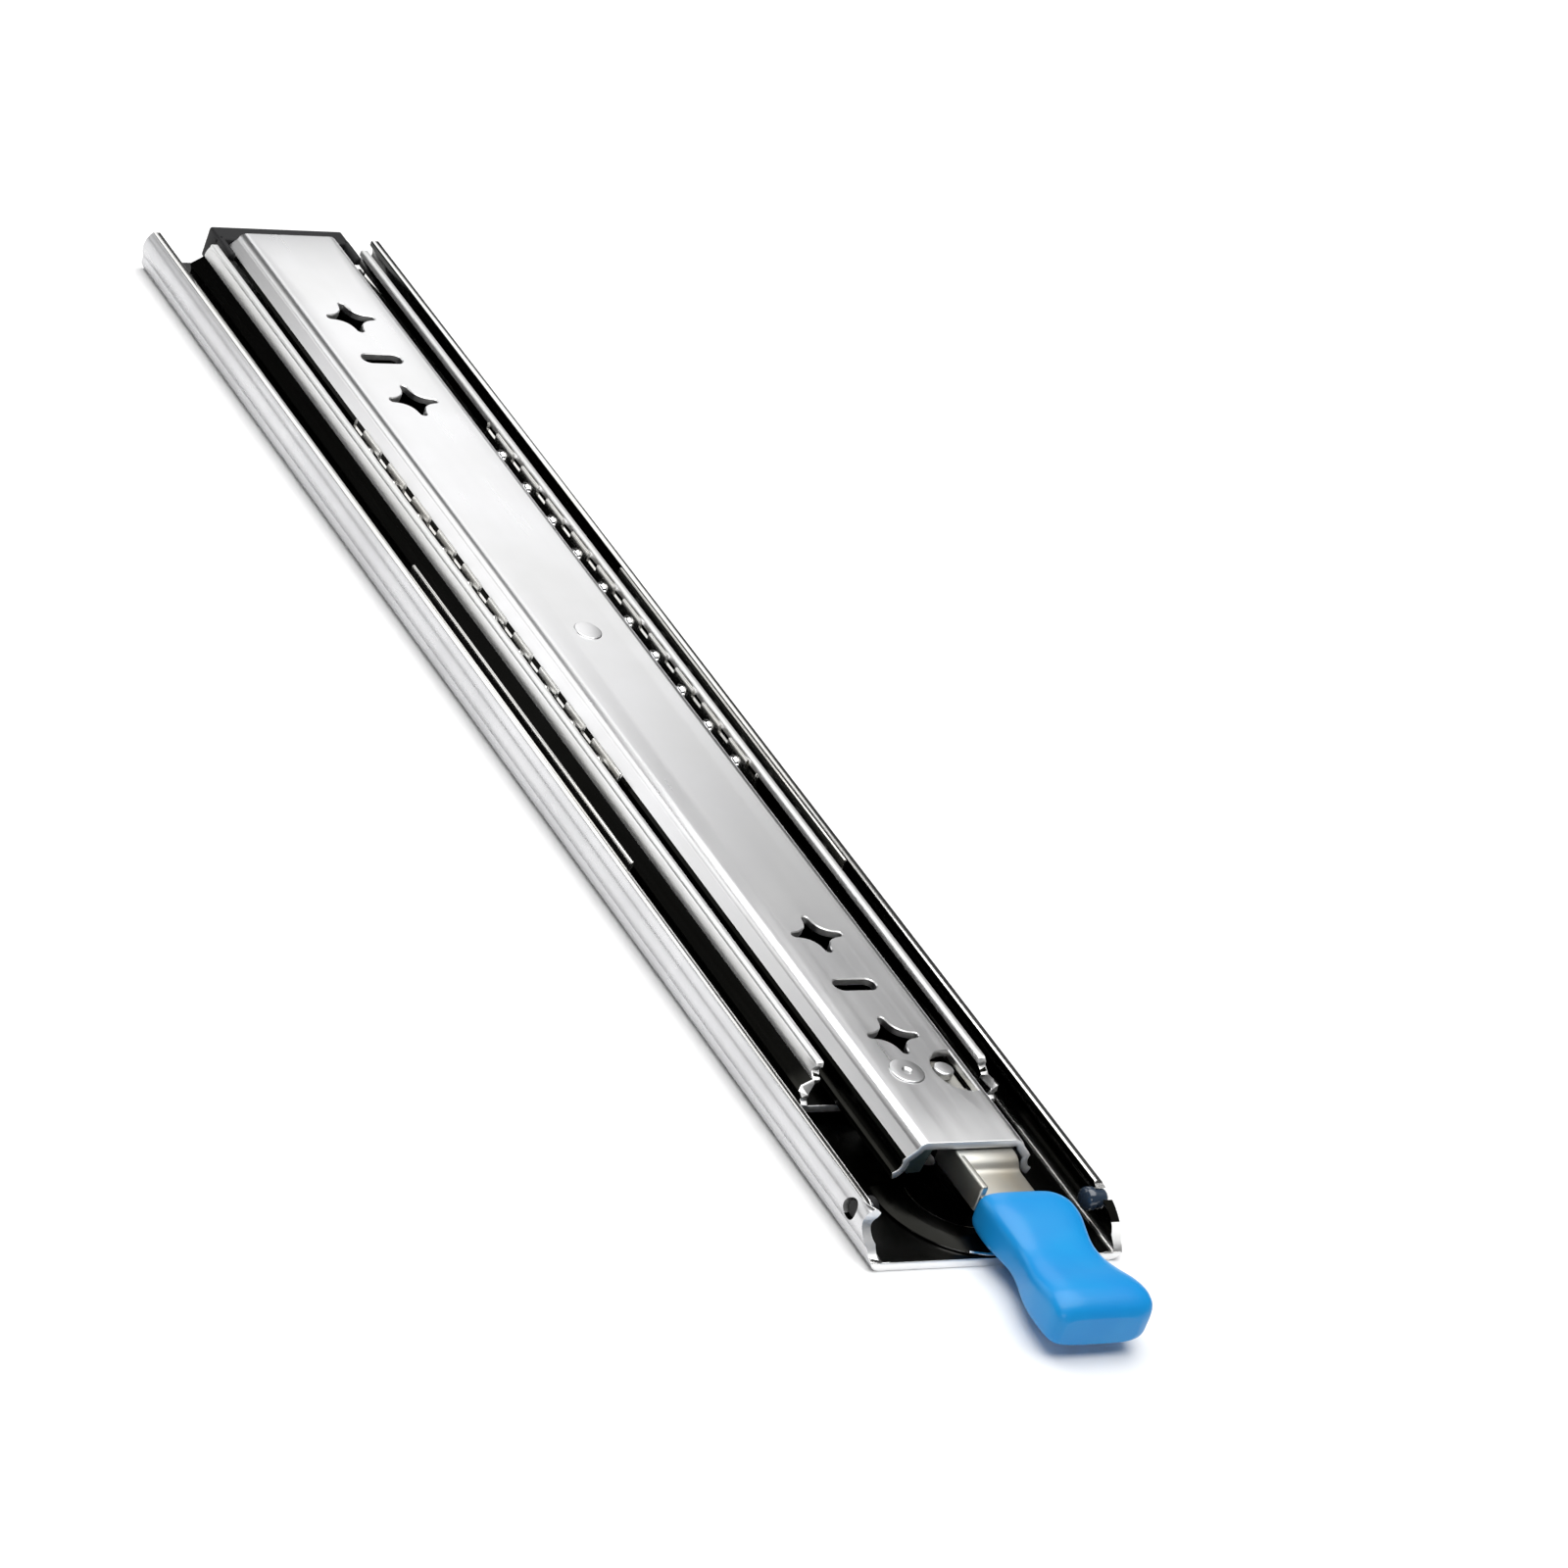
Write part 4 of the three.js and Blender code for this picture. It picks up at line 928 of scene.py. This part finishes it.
# %% Catch
low, high = span("lock_catch")
ring_profile = np.array([  # radius and height, from the inner edge to the outer one
    [13.5, low[2]], [13.5, high[2] - 0.4], [13.7, high[2] - 0.1], [14.1, high[2]],
    [18.8, high[2]], [19.3, high[2] - 0.08], [CATCH_RADIUS - 0.4, low[2] + 0.6],
    [CATCH_RADIUS, low[2] + 0.35], [CATCH_RADIUS, low[2]]])
angle = np.radians(np.linspace(168, 372, 90))
radius, height = ring_profile.T
catch = stack("crescent", [np.column_stack([radius * math.cos(a), CATCH_Y + radius * math.sin(a),
                                            height]) for a in angle])
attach(catch, "cabinet")
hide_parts("lock_catch")
print("catch:", len(catch.data.polygons), "faces")

# %% [markdown]
# ## Finishes
# The metal is zinc plate. What the eye reads is its reflections, so each zinc finish has fine
# lines along the rolling direction, soft cloudy patches in its roughness, and a faint warm tint
# here and there.

# %% Shared effects


def new_group(name, inputs, outputs):
    """An empty shader node group with named sockets."""
    group = bpy.data.node_groups.new(name, "ShaderNodeTree")
    for title, kind, value in inputs:
        socket = group.interface.new_socket(name=title, in_out="INPUT", socket_type=kind)
        if value is not None:
            socket.default_value = value
    for title, kind in outputs:
        group.interface.new_socket(name=title, in_out="OUTPUT", socket_type=kind)
    return group, group.nodes.new("NodeGroupInput"), group.nodes.new("NodeGroupOutput")


def rolled_lines():
    """Noise stretched along Y: its value is a mask of the lines that rolling and drawing leave."""
    group, inp, out = new_group(
        "rolled_lines",
        [("Coordinate", "NodeSocketVector", None), ("Across", "NodeSocketFloat", 900.0),
         ("Along", "NodeSocketFloat", 6.0)],
        [("Lines", "NodeSocketFloat"), ("Clouds", "NodeSocketFloat")])
    nodes, links = group.nodes, group.links
    stretch = nodes.new("ShaderNodeCombineXYZ")
    links.new(inp.outputs["Across"], stretch.inputs["X"])
    links.new(inp.outputs["Along"], stretch.inputs["Y"])
    links.new(inp.outputs["Across"], stretch.inputs["Z"])
    scaled = nodes.new("ShaderNodeVectorMath")
    scaled.operation = "MULTIPLY"
    links.new(inp.outputs["Coordinate"], scaled.inputs[0])
    links.new(stretch.outputs[0], scaled.inputs[1])
    fine = nodes.new("ShaderNodeTexNoise")
    fine.inputs["Scale"].default_value = 1.0
    fine.inputs["Detail"].default_value = 4.0
    links.new(scaled.outputs[0], fine.inputs["Vector"])
    links.new(fine.outputs["Fac"], out.inputs["Lines"])
    cloud = nodes.new("ShaderNodeTexNoise")
    cloud.inputs["Scale"].default_value = 34.0
    cloud.inputs["Detail"].default_value = 3.0
    cloud.inputs["Roughness"].default_value = 0.6
    links.new(inp.outputs["Coordinate"], cloud.inputs["Vector"])
    links.new(cloud.outputs["Fac"], out.inputs["Clouds"])
    return group


LINES = rolled_lines()
MASK_LOW, MASK_HIGH = 0.3, 0.7  # noise seldom leaves this range


def between(nodes, links, source, low, high):
    """Map a mask to the range from low to high."""
    node = nodes.new("ShaderNodeMapRange")
    node.inputs["From Min"].default_value = MASK_LOW
    node.inputs["From Max"].default_value = MASK_HIGH
    node.inputs["To Min"].default_value = low
    node.inputs["To Max"].default_value = high
    links.new(source, node.inputs["Value"])
    return node.outputs["Result"]


ROLLED_RELIEF = 0.00005  # metres
MOULDED_RELIEF = 0.0001


def plated(name, tint, other_tint, rough_low, rough_high, bump, across=900.0, along=6.0):
    """Zinc plate: colour drifts between two tints, roughness and bump follow the rolled lines."""
    material = bpy.data.materials.new(name)
    material.use_nodes = True
    nodes, links = material.node_tree.nodes, material.node_tree.links
    shader = nodes["Principled BSDF"]
    shader.inputs["Metallic"].default_value = 1.0
    place = nodes.new("ShaderNodeTexCoord")
    effect = nodes.new("ShaderNodeGroup")
    effect.node_tree = LINES
    effect.inputs["Across"].default_value = across
    effect.inputs["Along"].default_value = along
    links.new(place.outputs["Object"], effect.inputs["Coordinate"])
    colour = nodes.new("ShaderNodeMix")
    colour.data_type = "RGBA"
    colour.inputs["A"].default_value = (*tint, 1)
    colour.inputs["B"].default_value = (*other_tint, 1)
    links.new(between(nodes, links, effect.outputs["Clouds"], 0, 1), colour.inputs["Factor"])
    links.new(colour.outputs["Result"], shader.inputs["Base Color"])
    mixed = nodes.new("ShaderNodeMath")
    mixed.operation = "MULTIPLY_ADD"
    links.new(effect.outputs["Lines"], mixed.inputs[0])
    mixed.inputs[1].default_value = 0.5
    half = nodes.new("ShaderNodeMath")
    half.operation = "MULTIPLY"
    half.inputs[1].default_value = 0.5
    links.new(effect.outputs["Clouds"], half.inputs[0])
    links.new(half.outputs[0], mixed.inputs[2])
    links.new(between(nodes, links, mixed.outputs[0], rough_low, rough_high),
              shader.inputs["Roughness"])
    relief = nodes.new("ShaderNodeBump")
    relief.inputs["Strength"].default_value = bump
    relief.inputs["Distance"].default_value = ROLLED_RELIEF
    links.new(effect.outputs["Lines"], relief.inputs["Height"])
    links.new(relief.outputs["Normal"], shader.inputs["Normal"])
    return material


def moulded(name, colour, shade, roughness, grain, size, coat=0.0, specular=0.5):
    """Moulded plastic or rubber: fine grain in the bump and slow drift in colour and roughness."""
    material = bpy.data.materials.new(name)
    material.use_nodes = True
    nodes, links = material.node_tree.nodes, material.node_tree.links
    shader = nodes["Principled BSDF"]
    shader.inputs["Coat Weight"].default_value = coat
    shader.inputs["Specular IOR Level"].default_value = specular
    shader.inputs["Coat Roughness"].default_value = 0.15
    place = nodes.new("ShaderNodeTexCoord")
    drift = nodes.new("ShaderNodeTexNoise")
    drift.inputs["Scale"].default_value = 60.0
    links.new(place.outputs["Object"], drift.inputs["Vector"])
    mix = nodes.new("ShaderNodeMix")
    mix.data_type = "RGBA"
    mix.inputs["A"].default_value = (*colour, 1)
    mix.inputs["B"].default_value = (*shade, 1)
    links.new(between(nodes, links, drift.outputs["Fac"], 0, 1), mix.inputs["Factor"])
    links.new(mix.outputs["Result"], shader.inputs["Base Color"])
    links.new(between(nodes, links, drift.outputs["Fac"], roughness - 0.04, roughness + 0.05),
              shader.inputs["Roughness"])
    skin = nodes.new("ShaderNodeTexNoise")
    skin.inputs["Scale"].default_value = size
    skin.inputs["Detail"].default_value = 3.0
    links.new(place.outputs["Object"], skin.inputs["Vector"])
    relief = nodes.new("ShaderNodeBump")
    relief.inputs["Strength"].default_value = grain
    relief.inputs["Distance"].default_value = MOULDED_RELIEF
    links.new(skin.outputs["Fac"], relief.inputs["Height"])
    links.new(relief.outputs["Normal"], shader.inputs["Normal"])
    return material


print("shared effect:", LINES.name)

# %% [markdown]
# ## Metal and plastic
# Each finish states two tints, a range of roughness and a strength of relief. The plated ones may
# also state how many lines run across and along, since a wall is brushed more coarsely than a
# face.

# %% Finishes by name
BRIGHT = plated("bright_zinc_plate", (0.88, 0.88, 0.88), (0.84, 0.83, 0.80), 0.12, 0.20, 0.05)
SATIN = plated("satin_zinc_plate", (0.84, 0.84, 0.85), (0.80, 0.80, 0.80), 0.26, 0.34, 0.03,
               500.0, 5.0)
# A darker copy of the zinc plate, painted shade on the lower outside of the walls; its coarse lines
# are brushing.
SHADED_WALL = plated("painted_shade_outer_wall", (0.66, 0.66, 0.67), (0.57, 0.57, 0.58), 0.24, 0.32, 0.03,
              260.0, 4.0)
# Matt tumbled finish, its tint lighter than the bright plate as painted highlight on cut ends,
# shoulder and lip.
HIGHLIGHT_RIM = plated("tumbled_rim_highlight", (0.92, 0.92, 0.92), (0.86, 0.86, 0.85), 0.38, 0.50, 0.05, 500.0, 5.0)
# Near-black painted shade for the grooves, the floors between them and the undersides.
PAINTED_SHADE = plated("painted_shade_black", (0.012, 0.012, 0.011), (0.006, 0.006, 0.005), 0.20, 0.30, 0.05)
WARM = plated("warm_zinc_plate", (0.66, 0.60, 0.49), (0.42, 0.45, 0.46), 0.36, 0.46, 0.06,
              500.0, 5.0)
TEAL = plated("passivated_tab", (0.20, 0.27, 0.26), (0.16, 0.22, 0.21), 0.30, 0.42, 0.10)
STRIP = plated("cage_strip_steel", (0.86, 0.86, 0.84), (0.76, 0.74, 0.70), 0.16, 0.30, 0.15)
WIRE = plated("spring_wire", (0.50, 0.50, 0.50), (0.42, 0.42, 0.42), 0.25, 0.35, 0.1)
BALL = plated("polished_ball", (0.88, 0.88, 0.89), (0.84, 0.84, 0.84), 0.05, 0.09, 0.02,
              300.0, 300.0)
# A near-black copy of the ball finish, painted shade on the outer balls deep in their races.
SHADED_BALL = plated("painted_shade_ball", (0.05, 0.05, 0.05), (0.035, 0.035, 0.035), 0.25, 0.35, 0.02,
                 300.0, 300.0)
BLUE = moulded("blue_grip", (0.010, 0.29, 0.66), (0.006, 0.25, 0.63), 0.36, 0.05, 2600.0,
               coat=0.14, specular=0.3)
RUBBER = moulded("black_bumper", (0.006, 0.006, 0.007), (0.010, 0.010, 0.011), 0.52, 0.12, 3200.0,
                 specular=0.25)
PEG = moulded("polished_peg", (0.020, 0.035, 0.060), (0.030, 0.045, 0.070), 0.14, 0.02, 900.0,
              coat=0.6)
print("finishes:", len(bpy.data.materials))

# %% [markdown]
# ## One finish for each piece
# Every piece first gets a single finish.

# %% Put the finishes on


def finish(pieces, material):
    """Give each piece its material."""
    for piece in pieces:
        piece.data.materials.clear()
        piece.data.materials.append(material)


outer_left_balls, inner_left_balls, outer_right_balls, inner_right_balls = ball_pieces
finish([cabinet, middle, catch], BRIGHT)
finish([drawer, pivot_rivet, stop_rivet, stop_pin] + small_rivets, SATIN)
finish(cage_pieces, STRIP)
finish([inner_left_balls, inner_right_balls], BALL)
finish([lever], WARM)
finish([spring], WIRE)
finish([grip], BLUE)
# The left front peg takes the black rubber as painted shade in its bore; the right peg keeps its
# dark blue.
finish([bumpers[0]] + bumpers[2:], RUBBER)
finish([bumpers[1]], PEG)
finish([flange_tab], TEAL)
finish([outer_left_balls, outer_right_balls], SHADED_BALL)

# %% [markdown]
# ## Painted shade, rims and outer walls
# The grooves, the floors between them and the undersides get a near-black painted shade. The cut
# ends and the middle member's shoulder and lip get a matt tumbled finish whose lighter tint is
# painted highlight, and the lower outside of the walls is brushed and given a darker tint painted
# as shade. Each is a further material on the faces of one region, picked by where they lie, so the
# finish follows the steel when the slide opens.

# %% Finishes by region
OUTER_GROOVE = 4.9  # reach of the painted shade from a ball axis, in the cabinet member
MIDDLE_GROOVE = 3.9  # the same on the outside of the middle member
INNER_GROOVE = 4.2  # and on its inside
DRAWER_GROOVE = 3.3
GROOVE_RISE = 3.0  # how far above the outer ball axis the painted shade goes
SHADE_TOP = 12.2  # the middle member's outer side has painted shade up to here
BARE_LIP = 2.2  # its lip is free of painted shade this far above the inner ball axis
SHOULDER_SHADE = 3.2  # the drawer member's shoulder has painted shade this far below its face
FLOOR_EDGE = 33  # half width of the cabinet member's flat floor
WALL_TOP = 12.5
CATCH_BRIGHT_RADIUS = 14.2
ACROSS_Y = 0.5  # a face whose normal has more of Y than this belongs to a cut end


def coat_part(piece, material, is_inside, ends=False):
    """Give the faces that is_inside(centres, normals) picks another finish, as a further material.

    Faces that look along Y are left out unless ends is true.
    """
    count = len(piece.data.polygons)
    centres, normals = np.empty(count * 3), np.empty(count * 3)
    piece.data.polygons.foreach_get("center", centres)
    piece.data.polygons.foreach_get("normal", normals)
    centres = centres.reshape(-1, 3) / MM
    normals = normals.reshape(-1, 3)
    picked = is_inside(centres, normals) & ((np.abs(normals[:, 1]) < ACROSS_Y) | ends)
    index = np.empty(count, dtype=np.int32)
    piece.data.polygons.foreach_get("material_index", index)
    index[picked] = len(piece.data.materials)
    piece.data.materials.append(material)
    piece.data.polygons.foreach_set("material_index", index)
    print(piece.name, material.name, "on", int(picked.sum()), "faces")


def from_axis(at, ball):
    """Distance of each face from the nearer ball axis, in the X and Z plane."""
    return np.hypot(np.abs(at[:, 0]) - ball[0], at[:, 2] - ball[2])


def outwards(at, up):
    """How far each face looks away from the middle plane x = 0."""
    return up[:, 0] * np.sign(at[:, 0])


def cabinet_painted_shade(at, up):
    """Painted shade: both races, and the flat floor between them."""
    floor_face = (at[:, 2] > 2.2) & (at[:, 2] < 3.5) & (np.abs(at[:, 0]) < FLOOR_EDGE)
    return (from_axis(at, OUTER_BALL) < OUTER_GROOVE) | floor_face


def cabinet_wall_shade(at, up):
    """Painted shade: the lower outside of the walls."""
    return ((outwards(at, up) > 0.2) & (np.abs(at[:, 0]) > FLOOR_EDGE) & (at[:, 2] < WALL_TOP)
            & (from_axis(at, OUTER_BALL) > OUTER_GROOVE))


def middle_painted_shade(at, up):
    """Painted shade: both grooves, the outer side below the shoulder, and the web."""
    groove = from_axis(at, OUTER_BALL) < MIDDLE_GROOVE
    return ((groove & (at[:, 2] < OUTER_BALL[2] + GROOVE_RISE))
            | (from_axis(at, INNER_BALL) < INNER_GROOVE)
            | ((at[:, 2] < SHADE_TOP) & (outwards(at, up) > 0.25))
            | ((at[:, 2] < 7.5) & (np.abs(at[:, 0]) < 27)))


def middle_rim_highlight(at, up):
    """Painted highlight: the outer side's shoulder and the lip."""
    return (((at[:, 2] > SHADE_TOP) & (from_axis(at, INNER_BALL) > INNER_GROOVE))
            | (at[:, 2] > INNER_BALL[2] + BARE_LIP))


def drawer_painted_shade(at, up):
    """Painted shade: the groove, the flange below the shoulder, and the underside of the web."""
    return ((from_axis(at, INNER_BALL) < DRAWER_GROOVE)
            | ((at[:, 2] < FACE_HEIGHT - SHOULDER_SHADE) & (outwards(at, up) > 0.4))
            | ((at[:, 2] < WEB_BOTTOM + 0.1) & (up[:, 2] < 0)))


def catch_painted_shade(at, up):
    """Painted shade: all but the crescent's inner rim."""
    return np.hypot(at[:, 0], at[:, 1] - CATCH_Y) > CATCH_BRIGHT_RADIUS


# Painted shade where the members lie in shadow.
coat_part(cabinet, PAINTED_SHADE, cabinet_painted_shade)
coat_part(middle, PAINTED_SHADE, middle_painted_shade)
coat_part(drawer, PAINTED_SHADE, drawer_painted_shade)
coat_part(catch, PAINTED_SHADE, catch_painted_shade)
coat_part(middle, HIGHLIGHT_RIM, middle_rim_highlight)
# The cut ends get the lighter rim finish as painted highlight.
for piece in (cabinet, middle, drawer):
    coat_part(piece, HIGHLIGHT_RIM, lambda at, up: np.abs(up[:, 1]) > ACROSS_Y, ends=True)
coat_part(cabinet, SHADED_WALL, cabinet_wall_shade)

# %% [markdown]
# ## Studio
# Bright metal shows its surroundings, so it needs something dark to reflect as well as something
# bright: large soft panels above and to the sides, a pale floor, and a dim room.

# %% Floor and light
FLOOR_SIZE = 14
PAPER_GREY = 0.90
ROOM_GLOW = 0.03
bpy.ops.mesh.primitive_plane_add(size=FLOOR_SIZE, location=(0, 0, 0))
floor = bpy.context.object
floor.name = "studio_floor"
paper = bpy.data.materials.new("pale_paper")
paper.use_nodes = True
paper_shader = paper.node_tree.nodes["Principled BSDF"]
paper_shader.inputs["Base Color"].default_value = (PAPER_GREY, PAPER_GREY, PAPER_GREY, 1)
paper_shader.inputs["Roughness"].default_value = 0.8
floor.data.materials.append(paper)

world = bpy.data.worlds.new("room")
bpy.context.scene.world = world
world.use_nodes = True
background = world.node_tree.nodes["Background"]
background.inputs["Color"].default_value = (1, 1, 1, 1)
background.inputs["Strength"].default_value = ROOM_GLOW
bpy.context.scene.view_settings.view_transform = "Standard"


def panel(name, place, aim, size, power):
    """Soft rectangular light at a place, facing the aim point, both in metres."""
    light = bpy.data.lights.new(name, "AREA")
    light.shape = "RECTANGLE"
    light.size, light.size_y = size
    light.energy = power
    lamp = bpy.data.objects.new(name, light)
    lamp.location = place
    lamp.rotation_euler = (Vector(aim) - Vector(place)).to_track_quat("-Z", "Y").to_euler()
    bpy.context.scene.collection.objects.link(lamp)
    print("light", name, power, "watts")


panel("overhead", (0.0, 0.0, 1.7), (0, 0, 0), (2.2, 2.2), 54)
panel("behind", (0.56, 1.21, 0.74), (0, 0, 0), (0.7, 0.9), 2.4)
panel("left_behind", (-1.08, 1.26, 0.68), (0, 0, 0), (1.2, 1.1), 6)
panel("front", (-0.6, -1.8, 0.8), (0, -0.1, 0), (0.9, 0.5), 5)

# %% [markdown]
# ## Camera
# A long lens nearly two metres away, about thirty degrees above the slide and to the left of its
# front. The camera is turned a little aside, so the slide stands left of the middle, and rolled
# about its own axis.

# %% Camera
AZIMUTH = math.radians(37.577)
ELEVATION = math.radians(29.708)
ROLL = math.radians(20.535)
DISTANCE = 1.97117  # metres
SENSOR = 36  # millimetres
LENS = 173.7225
LOOK_AT = Vector((0, -0.025, 0))
ASIDE, ABOVE = 0.01934982, 0.0003  # slope of the turn to the right and up
back = Vector((-math.sin(AZIMUTH) * math.cos(ELEVATION), -math.cos(AZIMUTH) * math.cos(ELEVATION),
               math.sin(ELEVATION)))
level = Vector((0, 0, 1)).cross(back).normalized()
rise = back.cross(level)
right = level * math.cos(ROLL) + rise * math.sin(ROLL)
up = rise * math.cos(ROLL) - level * math.sin(ROLL)
eye = LOOK_AT + back * DISTANCE
back = -(-back + right * ASIDE + up * ABOVE).normalized()
right = up.cross(back).normalized()
up = back.cross(right)
camera = bpy.data.cameras.new("camera")
camera.sensor_width = SENSOR
camera.lens = LENS
viewer = bpy.data.objects.new("camera", camera)
viewer.matrix_world = Matrix((
    (right.x, up.x, back.x, eye.x), (right.y, up.y, back.y, eye.y),
    (right.z, up.z, back.z, eye.z), (0, 0, 0, 1)))
bpy.context.scene.collection.objects.link(viewer)
bpy.context.scene.camera = viewer
print("camera at", [round(value, 3) for value in eye])
